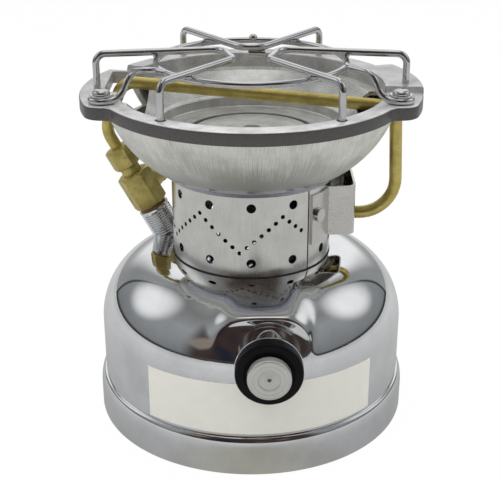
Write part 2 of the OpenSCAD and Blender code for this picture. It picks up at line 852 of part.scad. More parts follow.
module gas_tip() {
  color("goldenrod") translate([gen_end.x, 0, jet_z]) rotate([0, -90, 0]) difference() {
    union() {
      hexagon(tip_hex, 0, tip_hex_t);
      translate([0, 0, tip_hex_t]) cylinder(r = tip_r, h = tip_shank);
      translate([0, 0, tip_hex_t + tip_shank]) cylinder(r1 = tip_r, r2 = tip_r / 2, h = tip_nose);
    }
    translate([0, 0, tip_hex_t]) cylinder(r = jet_r, h = tip_shank + tip_nose + past);
  }
}

// Collar, bracket and mixing tube
module burner_collar() {
  reach = collar_r + past;
  color("lightgray") difference() {
    tube(collar_r, collar_in_r, tank_top, collar_top);
    for (row = [hole_low, hole_high])
      for (i = [1:hole_count - 1])
        radial_hole(360 / hole_count * i, tank_top + row, hole_r);
    for (az = [band_from:leg_az / leg_dots:band_to])
      radial_hole(az, tank_top + band_low + band_h * zigzag((az - band_from) / leg_az), dot_r);
    translate([0, -mixer_r - window_side, jet_z - mixer_r - window_side])
      cube([reach, 2 * (mixer_r + window_side), 2 * (mixer_r + window_side)]);
    for (side = [-1, 1]) radial_hole(side * bracket_screw_az, bracket_screw_z, bracket_screw_r + seam);
    rotate(collar_slit_az) translate([0, -collar_slit / 2, tank_top - past])
      cube([reach, collar_slit, collar_h + 2 * past]);
  }
}

// A triangle wave between 0 and 1
function zigzag(t) = abs((t % 2) - 1);

module radial_hole(az, z, r) {
  rotate(az) translate([collar_in_r - past, 0, z]) rotate([0, 90, 0])
    cylinder(r = r, h = collar_wall + 2 * past, $fn = 24);
}

module mixer_bracket() {
  out = bracket_reach;
  half = bracket_w / 2;
  c = bracket_corner;
  t = bracket_wall;
  flange_r = collar_r + seam;
  color("silver") difference() {
    translate([0, 0, bracket_low]) linear_extrude(bracket_h) {
      difference() {
        union() {
          polygon(concat([[0, -half]], arc([out - c, c - half], c, -90, 0, 6),
            arc([out - c, half - c], c, 0, 90, 6), [[0, half]]));
          intersection() {
            circle(r = flange_r + t);
            polygon([[0, 0], 3 * polar2(flange_r, -flange_az), 3 * polar2(flange_r, flange_az)]);
          }
        }
        circle(r = flange_r);
        polygon(concat([[0, t - half]], arc([out - c, c - half], c - t, -90, 0, 6),
          arc([out - c, half - c], c - t, 0, 90, 6), [[0, half - t]]));
      }
    }
    for (side = [-1, 1]) rotate(side * bracket_screw_az) translate([collar_r - past, 0, bracket_screw_z])
      rotate([0, 90, 0]) cylinder(r = bracket_screw_r + seam, h = 3 * past);
    translate([out - past, 0, jet_z]) rotate([0, 90, 0]) cylinder(r = gen_r + hole_clear, h = 2 * past);
  }
}

function polar2(r, az) = [r * cos(az), r * sin(az)];

module bracket_screws() {
  seat = collar_r + seam + bracket_wall;
  color("silver") for (az = [-bracket_screw_az, bracket_screw_az])
    rotate(az) translate([0, 0, bracket_screw_z]) rotate([0, 90, 0]) {
      translate([0, 0, seat + seam]) cylinder(r = bracket_screw_head, h = bracket_screw_h);
      translate([0, 0, seat - bracket_screw_in]) cylinder(r = bracket_screw_r, h = bracket_screw_in + seam);
    }
}

// The level mouth, the bend and the riser of the mixing tube, reaching over past both ends
module mixer_run(r, over) {
  translate([mixer_bend, 0, jet_z]) rotate([0, 90, 0]) cylinder(r = r, h = mixer_mouth - mixer_bend + over);
  translate([mixer_bend, 0, jet_z + mixer_bend]) rotate([90, 0, 0]) rotate(180)
    rotate_extrude(angle = 90) translate([mixer_bend, 0]) circle(r = r);
  translate([0, 0, jet_z + mixer_bend]) cylinder(r = r, h = mixer_top - jet_z - mixer_bend + over);
}

module mixing_tube() {
  color("gray") difference() {
    union() {
      difference() {
        mixer_run(mixer_r, 0);
        mixer_run(mixer_r - mixer_wall, past);
      }
      translate([mixer_wall / 2 - mixer_r, -bridge_w / 2, mixer_top - bridge_h])
        cube([2 * mixer_r - mixer_wall, bridge_w, bridge_h]);
    }
    translate([0, 0, mixer_top - bridge_h - past])
      cylinder(r = burner_screw_r + seam, h = bridge_h + 2 * past);
  }
}

// Bowl
bowl_foot = [bowl_foot_r, collar_top];
bowl_shoulder = [bowl_top_r, rim_low];
bowl_centre = arc_centre(bowl_foot, bowl_shoulder, bowl_curve_r);
bowl_from = heading(bowl_foot - bowl_centre);
bowl_to = heading(bowl_shoulder - bowl_centre);
bowl_side = arc(bowl_centre, bowl_curve_r, bowl_from, bowl_to, 12);
bowl_inside = [
  for (p = bowl_side)
    let (q = p - bowl_wall * unit(p - bowl_centre))
    if (q.y > bowl_floor && q.y < rim_low) q
];

module burner_bowl() {
  fit = collar_r + seam;
  hub = mixer_r + seam;
  skirt_low = collar_top - skirt_h;
  color("silver") difference() {
    rotate_extrude($fn = 128) polygon(concat(
      [[hub, collar_top], [fit, collar_top], [fit, skirt_low], [skirt_r, skirt_low]],
      arc([skirt_r, collar_top - skirt_h / 2], skirt_h / 2, skirt_low_az, skirt_high_az, 4),
      bowl_side,
      [[bowl_top_r - bowl_wall, rim_low]],
      reversed(bowl_inside),
      [[bowl_inside[0].x - floor_fillet, bowl_floor], [hub, bowl_floor]]
    ));
    generator_slots();
  }
}

// The thick rim of the bowl, with its lugs, its screw ears and the step on its rear half
module bowl_rim() {
  step_low = rim_top - step_root;
  step_in = rim_in_r + step_ledge;
  color("silver") difference() {
    union() {
      rotate_extrude($fn = 128) polygon([
        [lip_r, rim_low], [rim_r - rim_edge, rim_low], [rim_r, rim_low + rim_edge],
        [rim_r, rim_top - rim_edge], [rim_r - rim_edge, rim_top], [rim_in_r, rim_top],
        [lip_r, rim_low + lip_t]
      ]);
      for (side = [0, 1]) mirror([side, 0, 0]) {
        translate([0, 0, rim_low]) linear_extrude(rim_h) polygon(lug_outline());
      }
      rim_sector(step_from_az, step_to_az, step_in, rim_r - step_ledge, step_low, rear_top);
      rim_sector(step_from_az, step_lug_az, step_in, lug_r - step_ledge, step_low, rear_top);
    }
    generator_slots();
    for (side = [-1, 1])
      translate([side * ear_x, -ear_y, rim_low - past]) cylinder(r = ear_hole_r, h = rim_h + 2 * past);
    for (p = feet()) translate([p.x, p.y, foot_z])
      cylinder(r = foot_hole_r, h = foot_depth + rim_step + past);
  }
}

// Outline of a side lug that runs into its screw ear, and of the hollow from the ear to the rim
function lug_outline() =
  let (
    ear = polar2(ear_d, ear_az),
    to_rim = rim_r + ear_hollow - seam,
    to_ear = ear_r + ear_hollow,
    spread = acos((pow(ear_d, 2) + pow(to_rim, 2) - pow(to_ear, 2)) / (2 * ear_d * to_rim)),
    hollow = polar2(to_rim, ear_az + spread),
    ear_end = 360 + heading(hollow - ear)
  )
  concat(
    arc([0, 0], lug_r, lug_from_az, ear_az, 16),
    arc(ear, ear_r, ear_az + ear_step, ear_end, 9),
    arc(hollow, ear_hollow, ear_end - 180 - ear_step, ear_az + spread - 180, 6),
    arc([0, 0], rim_r - lug_root, ear_az + spread, lug_from_az, 16)
  );

// A flat piece of ring between two directions
module rim_sector(from, to, r_in, r_out, low, high) {
  translate([0, 0, low]) rotate(from) rotate_extrude(angle = to - from)
    translate([r_in, 0]) square([r_out - r_in, high - low]);
}

// The two openings in the side through which the generator passes
module generator_slots() {
  high = rear_top - slot_low + past;
  translate([-slot_out, -slot_left_front, slot_low]) cube([slot_w, slot_left_front + slot_left_back, high]);
  translate([slot_in, -slot_right_front, slot_low]) cube([slot_w, slot_right_front + slot_right_back, high]);
}

function feet() = concat(
  [for (side = [-1, 1]) [side * side_foot_r, 0]],
  [for (az = [front_az, 540 - front_az]) polar2(front_foot_r, az)],
  [for (az = [90 - rear_az, 90 + rear_az]) polar2(rear_foot_r, az)]
);

module drip_pan() {
  hole = burner_r + seam;
  color("darkgray") difference() {
    rotate_extrude($fn = 128) polygon([
      [hole, pan_floor - pan_wall], [pan_floor_r + pan_wall, pan_floor - pan_wall],
      [pan_floor_r + pan_wall, pan_floor + pan_step - pan_wall],
      [lip_r + pan_wall / 2, rim_low - pan_wall], [pan_top_r, rim_low - pan_wall], [pan_top_r, rim_low],
      [lip_r, rim_low], [pan_floor_r + pan_ledge, pan_floor + pan_step + pan_wall],
      [pan_floor_r, pan_floor + pan_step], [pan_floor_r, pan_floor], [hole, pan_floor]
    ]);
    generator_slots();
  }
}

// Burner
module burner_base() {
  color("dimgray") difference() {
    translate([0, 0, bowl_floor]) cylinder(r = burner_r, h = burner_h);
    translate([0, 0, ring_pack_low]) cylinder(r = burner_r - burner_wall, h = burner_h);
    translate([0, 0, bowl_floor - past]) cylinder(r = mixer_r + seam, h = burner_h);
  }
}

module burner_rings() {
  color("darkslategray") difference() {
    union() {
      translate([0, 0, ring_pack_low]) cylinder(r = ring_pack_r - ring_recess, h = ring_pack_n * ring_t);
      for (i = [1:2:ring_pack_n - 1]) translate([0, 0, ring_pack_low + i * ring_t])
        cylinder(r = ring_pack_r, h = ring_t);
    }
    translate([0, 0, ring_pack_low - past]) cylinder(r = ring_pack_in, h = burner_h + 2 * past);
  }
}

module burner_cap() {
  low = burner_cap_low;
  top = low + burner_cap_t;
  color("gray") rotate_extrude($fn = 96) polygon([
    [burner_screw_r + seam, low], [burner_cap_r, low], [burner_cap_r, top - cap_edge],
    [burner_cap_r - cap_edge, top], [cap_dome_r + cap_dome_h, top], [cap_dome_r, top + cap_dome_h],
    [burner_screw_r + seam, top + cap_dome_h]
  ]);
}

module burner_screw() {
  top = burner_cap_low + burner_cap_t + cap_dome_h;
  low = mixer_top - bridge_h;
  color("silver") {
    translate([0, 0, low]) cylinder(r = burner_screw_r, h = top - low);
    translate([0, 0, top]) cylinder(r = burner_screw_head, h = burner_screw_h);
  }
}

// Grate
module finger(foot_a, tip, foot_b) {
  color("gainsboro") wire(bent_route([
    [foot_a.x, foot_a.y, foot_z + seam], [foot_a.x, foot_a.y, finger_z], polar(tip_gap, tip, finger_z),
    [foot_b.x, foot_b.y, finger_z], [foot_b.x, foot_b.y, foot_z + seam]
  ], [foot_bend, tip_bend, foot_bend]), finger_wire_r);
}

module finger_left() { finger(feet()[0], tip_az[0], feet()[2]); }
module finger_right() { finger(feet()[1], tip_az[1], feet()[3]); }
module finger_rear() { finger(feet()[4], tip_az[2], feet()[5]); }

// One wire of the grate's ring: an eye round its screw, an arm that climbs, and its share of the ring
function ring_wire(side, span) =
  let (
    eye = [side * ear_x, -ear_y, eye_z],
    leave = side > 0 ? 270 - eye_leave_az : eye_leave_az - 90,
    way = [-side * cos(eye_leave_az), sin(eye_leave_az), 0],
    begin = polar(ring_r, span[0], ring_z),
    corner = begin - run_in * [-sin(span[0]), cos(span[0]), 0],
    loop = level_arc(eye, eye_r, leave + side * eye_sweep_az, leave, eye_steps),
    out = loop[eye_steps],
    foot = out + arm_out * way,
    top = foot + arm_lean * way + [0, 0, ring_z - eye_z],
    arm = bent_route([out, foot, top, corner, begin], [arm_bend, arm_bend, arm_bend])
  )
  concat(
    loop,
    [for (i = [1:len(arm) - 2]) arm[i]],
    level_arc([0, 0, ring_z], ring_r, span[0], span[1], ring_steps)
  );

module grate_wire_front() {
  color("gainsboro") wire(ring_wire(-1, front_span_az), ring_wire_r);
}

module grate_wire_rear() {
  color("gainsboro") wire(ring_wire(1, rear_span_az), ring_wire_r);
}

module grate_washers() {
  color("silver") for (side = [-1, 1]) translate([side * ear_x, -ear_y, 0])
    tube(washer_r, grate_screw_r + seam, washer_z, washer_z + washer_t);
}

module grate_screws() {
  seat = washer_z + washer_t;
  color("silver") for (side = [-1, 1]) translate([side * ear_x, -ear_y, 0]) {
    translate([0, 0, rim_low]) cylinder(r = grate_screw_r, h = seat - rim_low);
    translate([0, 0, seat]) rotate_extrude() polygon(concat(
      [[0, 0], [dome_head_r, 0]],
      [for (a = [0:15:90]) [dome_head_r * cos(a), dome_head_edge + (dome_head_h - dome_head_edge) * sin(a)]]
    ));
  }
}

fount_shell();
fount_base();
collar_ring();
filler_neck();
filler_cap();
filler_gasket();
filler_screw();
pump_cup();
pump_barrel();
pump_cap();
check_valve();
air_stem();
plunger_tube();
pump_knob();
piston_leather();
piston_nut();
valve_bung();
valve_seal();
valve_body();
packing_nut();
valve_spindle();
valve_wheel();
wheel_screw();
fuel_pickup();
generator_nut();
generator_tube();
gas_tip();
burner_collar();
mixer_bracket();
bracket_screws();
mixing_tube();
burner_bowl();
bowl_rim();
drip_pan();
burner_base();
burner_rings();
burner_cap();
burner_screw();
finger_left();
finger_right();
finger_rear();
grate_wire_front();
grate_wire_rear();
grate_washers();
grate_screws();
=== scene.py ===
# %% [markdown]
# # Dressing a single-burner gasoline stove
# The stove is a chromed round tank with a hand pump, a pierced steel collar, an aluminium burner bowl
# and a grate of bent wire. The frame holds every piece at its real size. This lesson keeps the pieces
# whose shape is right, models smoother ones for what the eye sees first, and gives each its finish.
# Lengths are in millimetres, and MM turns them into Blender's metres.

# %% Load the frame
import math

import bpy
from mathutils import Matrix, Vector


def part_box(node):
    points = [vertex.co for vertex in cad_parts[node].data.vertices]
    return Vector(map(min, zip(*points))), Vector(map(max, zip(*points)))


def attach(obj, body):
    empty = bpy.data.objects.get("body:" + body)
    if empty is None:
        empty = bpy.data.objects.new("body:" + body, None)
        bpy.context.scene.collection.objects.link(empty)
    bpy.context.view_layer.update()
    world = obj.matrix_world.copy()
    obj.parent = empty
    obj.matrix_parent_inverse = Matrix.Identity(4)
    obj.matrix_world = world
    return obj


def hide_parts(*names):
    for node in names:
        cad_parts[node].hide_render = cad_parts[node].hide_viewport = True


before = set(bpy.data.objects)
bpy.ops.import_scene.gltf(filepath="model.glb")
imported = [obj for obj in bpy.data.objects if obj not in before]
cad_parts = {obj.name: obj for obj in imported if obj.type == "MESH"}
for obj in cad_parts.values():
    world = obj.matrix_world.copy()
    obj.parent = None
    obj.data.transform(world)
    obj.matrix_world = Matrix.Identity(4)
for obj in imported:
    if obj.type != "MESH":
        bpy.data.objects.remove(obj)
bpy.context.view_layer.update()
MM = 0.001
UP = (0, 0, 1)
print("pieces in the frame:", len(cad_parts))

# %% [markdown]
# ## Camera
# The photograph looks down at the stove by about 24 degrees from half a metre away. A camera fitted to
# the outlines of foot, tank and rim gave the distance, the tilt and the lens below.

# %% Camera
CAMERA_PLACE = (0, -0.482, 0.2896)
CAMERA_TILT = 66.46
CAMERA_LENS = 76.12
CAMERA_SENSOR = 36
CAMERA_SHIFT = -0.0025

bpy.ops.object.camera_add(location=CAMERA_PLACE, rotation=(math.radians(CAMERA_TILT), 0, 0))
camera = bpy.context.object
camera.data.lens = CAMERA_LENS
camera.data.sensor_width = CAMERA_SENSOR
camera.data.shift_x = CAMERA_SHIFT
bpy.context.scene.camera = camera
print("camera at", CAMERA_PLACE, "with a lens of", CAMERA_LENS, "mm")

# %% [markdown]
# ## Small helpers
# Every operator acts on what is selected, so each helper starts from a clean selection. A finished mesh
# is closed: points that lie on each other are merged, and its faces are turned outwards.

# %% Selection and closed meshes
MERGE = 0.002 * MM


def fresh():
    if bpy.context.mode != "OBJECT":
        bpy.ops.object.mode_set(mode="OBJECT")
    bpy.ops.object.select_all(action="DESELECT")


def pick(piece):
    fresh()
    piece.select_set(True)
    bpy.context.view_layer.objects.active = piece


def closed(piece):
    pick(piece)
    bpy.ops.object.mode_set(mode="EDIT")
    bpy.ops.mesh.select_all(action="SELECT")
    bpy.ops.mesh.remove_doubles(threshold=MERGE)
    bpy.ops.mesh.normals_make_consistent(inside=False)
    bpy.ops.object.mode_set(mode="OBJECT")
    return piece


def keep_place():
    bpy.ops.object.transform_apply(location=True, rotation=True, scale=True)


# %% [markdown]
# Wires bend and turned edges are rounded, and both are the same thing: a corner that becomes an arc. A
# route is a row of corners with a radius for each. An outline is half a section, as radius and height,
# and its corners that carry a third number are rounded to that radius. An arc with a height of its own is
# part of an ellipse.

# %% Bends, routes and outlines
def bend(before, corner, after, radius, steps):
    u = (corner - before).normalized()
    v = (after - corner).normalized()
    turn = u.angle(v)
    if radius <= 0 or turn < 0.001:
        return [corner]
    side = (v - u * u.dot(v)).normalized()
    centre = corner - u * radius * math.tan(turn / 2) + side * radius
    angles = [turn * i / steps for i in range(steps + 1)]
    return [centre + radius * (u * math.sin(a) - side * math.cos(a)) for a in angles]


def route(points, radii, steps=8):
    done = [points[0]]
    for i, radius in enumerate(radii, 1):
        done += bend(points[i - 1], points[i], points[i + 1], radius, steps)
    return done + [points[-1]]


def eased(outline, steps=5):
    points = [Vector(p[:2]) for p in outline]
    radii = [p[2] if len(p) > 2 else 0 for p in outline[1:-1]]
    return route(points, radii, steps)


def arc(centre, width, start, end, steps, height=None):
    height = height or width
    angles = [math.radians(start + (end - start) * i / steps) for i in range(steps + 1)]
    return [(centre[0] + width * math.cos(a), centre[1] + height * math.sin(a)) for a in angles]


# %% [markdown]
# Most of the stove is round, so the main tool is a lathe. A Screw modifier could turn an outline too, but
# Spin works on the mesh at once: a plane is merged to a single point, the point is extruded along the
# outline, and the outline is spun about Z. An outline that starts off the axis is closed to a ring.

# %% The lathe
def turned(name, outline, steps=128):
    ends_on_axis = outline[0][0] == 0
    section = eased(outline if ends_on_axis else outline + outline[:1])
    points = [Vector((r * MM, 0, z * MM)) for r, z in section]
    fresh()
    bpy.ops.mesh.primitive_plane_add(size=MM)
    piece = bpy.context.object
    piece.name = name
    piece.data.name = name
    bpy.ops.object.mode_set(mode="EDIT")
    bpy.ops.mesh.select_all(action="SELECT")
    bpy.ops.mesh.merge(type="CENTER")
    bpy.ops.transform.translate(value=points[0])
    for here, there in zip(points, points[1:]):
        bpy.ops.mesh.extrude_vertices_move(TRANSFORM_OT_translate={"value": there - here})
    bpy.ops.mesh.select_all(action="SELECT")
    bpy.ops.mesh.spin(steps=steps, angle=math.tau, center=(0, 0, 0), axis=UP)
    return closed(piece)


# %% [markdown]
# The other helpers stand a turned piece on its axis, cut one piece with another, ease sharp edges with
# a bevel, and hand a finished piece to the frame with its body, its finish and the node it stands for.

# %% Placing, cutting, easing and settling
def stand(piece, place, direction):
    pick(piece)
    piece.rotation_mode = "QUATERNION"
    piece.rotation_quaternion = Vector(UP).rotation_difference(Vector(direction))
    piece.location = place
    keep_place()
    piece.rotation_mode = "XYZ"
    return piece


def shaped(piece, kind, **settings):
    pick(piece)
    bpy.ops.object.modifier_add(type=kind)
    modifier = piece.modifiers[-1]
    for name, value in settings.items():
        setattr(modifier, name, value)
    bpy.ops.object.modifier_apply(modifier=modifier.name)
    return piece


def cut(piece, cutter, operation="DIFFERENCE"):
    shaped(piece, "BOOLEAN", operation=operation, solver="EXACT", object=cutter)
    bpy.data.objects.remove(cutter)
    return piece


def ease(piece, width, segments=2, angle=35):
    sharp = {"limit_method": "ANGLE", "angle_limit": math.radians(angle)}
    return shaped(piece, "BEVEL", width=width * MM, segments=segments, **sharp)


def join(name, pieces):
    pick(pieces[0])
    for piece in pieces[1:]:
        piece.select_set(True)
    bpy.ops.object.join()
    pieces[0].name = name
    return pieces[0]


def settle(piece, finish, nodes=(), body="stove", angle=30):
    pick(piece)
    bpy.ops.object.shade_smooth_by_angle(angle=math.radians(angle))
    piece.data.materials.clear()
    piece.data.materials.append(finish)
    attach(piece, body)
    if nodes:
        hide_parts(*nodes)
    print(piece.name, len(piece.data.polygons), "faces on", body)
    return piece


def dress(finish, *names):
    for name in names:
        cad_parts[name].material_slots[0].material = finish
    print(finish.name, "on", *names)


# %% [markdown]
# ## Finishes
# Bare metal lives from small differences: brush marks, a little haze, spots of tarnish. Each finish
# below is a metal shader whose colour, roughness and bump come from noise that is stretched along the
# way the real surface was worked. A node builder keeps the graphs short.

# %% Node builder
class Graph:
    def __init__(self, tree):
        self.tree = tree

    def add(self, kind, **inputs):
        node = self.tree.nodes.new(kind)
        for name, value in inputs.items():
            self.feed(node.inputs[name.replace("_", " ")], value)
        return node

    def feed(self, socket, value):
        if isinstance(value, bpy.types.NodeSocket):
            self.tree.links.new(value, socket)
        else:
            socket.default_value = value

    def math(self, operation, first, second=0.0):
        node = self.add("ShaderNodeMath")
        node.operation = operation
        self.feed(node.inputs[0], first)
        self.feed(node.inputs[1], second)
        return node.outputs[0]

    def product(self, first, *others):
        for other in others:
            first = self.math("MULTIPLY", first, other)
        return first

    def mixed(self, first, share, second):
        return self.math("ADD", self.math("MULTIPLY", first, share), self.math("MULTIPLY", second, 1 - share))

    def distance(self, first, second):
        squares = [self.math("MULTIPLY", side, side) for side in (first, second)]
        return self.math("SQRT", self.math("ADD", *squares))

    def vector(self, operation, first, second):
        node = self.add("ShaderNodeVectorMath")
        node.operation = operation
        self.feed(node.inputs[0], first)
        self.feed(node.inputs[1], second)
        return node.outputs["Value" if operation == "DOT_PRODUCT" else "Vector"]

    def parts(self, vector):
        return self.add("ShaderNodeSeparateXYZ", Vector=vector).outputs

    def point(self, x, y, z=0.0):
        return self.add("ShaderNodeCombineXYZ", X=x, Y=y, Z=z).outputs[0]

    def noise(self, vector, scale, detail=3.0, roughness=0.55):
        node = self.add("ShaderNodeTexNoise", Vector=vector, Scale=scale, Detail=detail, Roughness=roughness)
        return node.outputs["Fac"]

    def span(self, value, low, high, start=0.0, end=1.0, smooth=False):
        node = self.add("ShaderNodeMapRange", Value=value)
        node.interpolation_type = "SMOOTHSTEP" if smooth else "LINEAR"
        for name, number in zip(("From Min", "From Max", "To Min", "To Max"), (low, high, start, end)):
            self.feed(node.inputs[name], number)
        return node.outputs["Result"]

    def rise(self, value, low, high):
        return self.span(value, low, high, smooth=True)

    def fall(self, value, low, high):
        return self.span(value, low, high, 1.0, 0.0, True)

    def steps(self, value, stops):
        node = self.add("ShaderNodeValToRGB", Fac=value)
        ramp = node.color_ramp.elements
        ramp[0].position, ramp[1].position = stops[0][0], stops[-1][0]
        for place, tone in stops[1:-1]:
            ramp.new(place)
        for stop, (place, tone) in zip(ramp, stops):
            stop.color = (*tone, 1) if isinstance(tone, tuple) else (tone, tone, tone, 1)
        return node.outputs["Color"]

    def blend(self, factor, first, second):
        node = self.add("ShaderNodeMix")
        node.data_type = "RGBA"
        self.feed(node.inputs["Factor"], factor)
        self.feed(node.inputs[6], first)
        self.feed(node.inputs[7], second)
        return node.outputs[2]

    def either(self, factor, first, second):
        node = self.add("ShaderNodeMixShader")
        for socket, value in zip(node.inputs, (factor, first, second)):
            self.feed(socket, value)
        return node.outputs[0]


# %% [markdown]
# A finish is a graph round one Principled shader. Noise seldom leaves its middle values, so a shade or a
# roughness is spread over that middle range only.

# %% Finish
NOISE_MIDDLE = (0.3, 0.7)


class Finish(Graph):
    def __init__(self, name, colour, metallic=1.0, roughness=0.3):
        self.material = bpy.data.materials.new(name)
        self.material.use_nodes = True
        super().__init__(self.material.node_tree)
        self.shader = self.tree.nodes["Principled BSDF"]
        self.shader.inputs["Base Color"].default_value = (*colour, 1)
        self.shader.inputs["Metallic"].default_value = metallic
        self.shader.inputs["Roughness"].default_value = roughness
        self.coords = self.add("ShaderNodeTexCoord").outputs["Object"]

    def shades(self, value, low, high, first, second):
        return self.blend(self.span(value, low, high), (*first, 1), (*second, 1))

    def colour(self, value):
        self.feed(self.shader.inputs["Base Color"], value)

    def rough(self, value):
        self.feed(self.shader.inputs["Roughness"], value)

    def rough_by(self, noise, start, end):
        self.rough(self.span(noise, *NOISE_MIDDLE, start, end))

    def bump(self, height, strength, depth):
        node = self.add("ShaderNodeBump", Height=height, Strength=strength, Distance=depth * MM)
        self.feed(self.shader.inputs["Normal"], node.outputs["Normal"])

    def done(self):
        print("finish", self.material.name, "with", len(self.tree.nodes), "nodes")
        return self.material


# %% [markdown]
# ### Chrome
# Chrome plate is a mirror with a faint haze from wiping, and the sheet under it is never quite flat.
# A broad noise gives haze and colour, a fine one the specks, and a very low bump bends the reflections.

# %% Chrome
SMEAR_SCALE, SPECK_SCALE, WAVE_SCALE = 38, 900, 22
SMEARED = 0.82
MIRROR = 0.02


def chrome(name, tone, haze):
    finish = Finish(name, tone)
    smear = finish.noise(finish.coords, SMEAR_SCALE, 5, 0.6)
    speck = finish.noise(finish.coords, SPECK_SCALE, 2)
    finish.colour(finish.shades(smear, 0.35, 0.7, tone, tuple(SMEARED * c for c in tone)))
    finish.rough(finish.span(finish.math("MULTIPLY", smear, speck), 0.12, 0.42, MIRROR, haze))
    finish.bump(finish.noise(finish.coords, WAVE_SCALE, 1), 0.05, 0.4)
    return finish.done()


tank_chrome = chrome("tank_chrome", (0.83, 0.84, 0.85), 0.09)
wire_chrome = chrome("wire_chrome", (0.70, 0.70, 0.71), 0.16)
plated_steel = chrome("plated_steel", (0.66, 0.66, 0.66), 0.26)

# %% [markdown]
# ### Brushed walls
# Brush marks follow the work. On the bowl's outside they run up the wall, so the noise is fine round the
# axis and slow along Z. On the collar they run the same way but finer. The bowl is painted darker low down,
# which is painted shade, and its polished foot gets a dark bluish colour, a painted reflection of the collar
# and tank.

# %% Brushed walls
MARK_DEPTH = 0.05
MARK_PACE = 60
SHADED_HEIGHT = 26
POLISHED_HEIGHT = 4
# Dark bluish painted reflection on the bowl's polished foot.
POLISH_REFLECTION_TONE = (0.36, 0.37, 0.41, 1)
POLISH_ROUGHNESS = 0.16
BOWL_POLISHED = 127.0


def walled(name, light, dark, marks, roughness, strength, metallic=1.0, polished=0.0):
    finish = Finish(name, light, metallic)
    x, y, z = finish.parts(finish.coords)
    around = finish.math("MULTIPLY", finish.math("ARCTAN2", y, x), marks)
    fine = finish.noise(finish.point(around, finish.math("MULTIPLY", z, MARK_PACE)), 1, 4, 0.7)
    blotch = finish.noise(finish.coords, 75, 5, 0.65)
    tone = finish.mixed(fine, 0.6, blotch)
    # Painted shade: the bowl's colour darkens towards its foot.
    if polished:
        shade = finish.span(z, polished * MM, (polished + SHADED_HEIGHT) * MM, 0.70, 1.05)
        tone = finish.math("MULTIPLY", tone, shade)
    base = finish.shades(tone, 0.40, 0.58, dark, light)
    # The polished foot is smoother, and its dark bluish colour is a painted reflection of the collar and
    # tank.
    polish_and_reflection = finish.fall(z, polished * MM, (polished + POLISHED_HEIGHT) * MM)
    finish.colour(finish.blend(polish_and_reflection, base, POLISH_REFLECTION_TONE))
    marked = finish.span(fine, *NOISE_MIDDLE, roughness + 0.08, roughness - 0.06)
    smoother = finish.math("MULTIPLY", polish_and_reflection, roughness - POLISH_ROUGHNESS)
    finish.rough(finish.math("SUBTRACT", marked, smoother))
    finish.bump(fine, strength, MARK_DEPTH)
    return finish.done()


bowl_aluminium = walled(
    "bowl_aluminium", (0.80, 0.80, 0.75), (0.50, 0.50, 0.46), 200, 0.40, 0.35, 0.72, BOWL_POLISHED
)
collar_steel = walled("collar_steel", (0.76, 0.76, 0.73), (0.60, 0.60, 0.57), 420, 0.24, 0.08)

# %% [markdown]
# ### Turned faces
# On turned faces, the pan's and the knob's, the marks are rings about an axis. A wave texture would draw
# even rings, and real ones are uneven, so a noise is used that only sees the distance from the axis.

# %% Turned faces
AXIS = (0, 0, 0)
PUMP_AXIS = (0.0078, 0, 0.0575)
RING_PACE = 2600


def ringed(name, light, dark, centre, axis, roughness, strength, metallic=1.0):
    finish = Finish(name, light, metallic)
    x, y, z = finish.parts(finish.vector("SUBTRACT", finish.coords, centre))
    reach = finish.distance(x, y if axis == "Z" else z)
    rings = finish.noise(finish.point(finish.math("MULTIPLY", reach, RING_PACE), 0.0), 1, 3, 0.7)
    blotch = finish.noise(finish.coords, 120, 5, 0.6)
    finish.colour(finish.shades(finish.mixed(rings, 0.5, blotch), 0.38, 0.62, dark, light))
    finish.rough_by(rings, roughness + 0.06, roughness - 0.06)
    finish.bump(rings, strength, MARK_DEPTH)
    return finish.done()


pan_aluminium = ringed(
    "pan_aluminium", (0.74, 0.74, 0.72), (0.48, 0.48, 0.46), AXIS, "Z", 0.26, 0.12, 0.75
)
knob_aluminium = ringed(
    "knob_aluminium", (0.57, 0.57, 0.55), (0.50, 0.50, 0.48), PUMP_AXIS, "Y", 0.3, 0.06, 0.72
)

# %% [markdown]
# ### Cast and rolled metal
# Cast metal has a fine grain all over and slow blotches. The rim is machined on top and rough cast
# outside, so its finish asks the surface which way it faces. Its outward upright faces are painted very
# dark over the cast grain, which is painted shade. Its top is painted brighter in front and darker at the
# rear, a painted sheen and shade.

# %% Cast and rolled metal
GRAIN_SCALE, BLOTCH_SCALE = 1500, 90
GRAIN_DEPTH = 0.06
# Dark end of the rim top's blotches, which also carries the painted shade at its rear, and the share of
# brightness the painted-shaded rear keeps.
GRIME_AND_SHADE = (0.05, 0.05, 0.05)
RIM_METALLIC = 0.55
REAR_SHADE_SHARE = 0.62


def cast_noise(finish):
    grain = finish.noise(finish.coords, GRAIN_SCALE, 4, 0.7)
    blotch = finish.noise(finish.coords, BLOTCH_SCALE, 5, 0.6)
    return grain, finish.mixed(grain, 0.5, blotch)


def cast(name, light, dark, roughness, strength):
    finish = Finish(name, light)
    grain, tone = cast_noise(finish)
    finish.colour(finish.shades(tone, 0.36, 0.64, dark, light))
    finish.rough_by(grain, roughness + 0.08, roughness - 0.08)
    finish.bump(grain, strength, GRAIN_DEPTH)
    return finish.done()


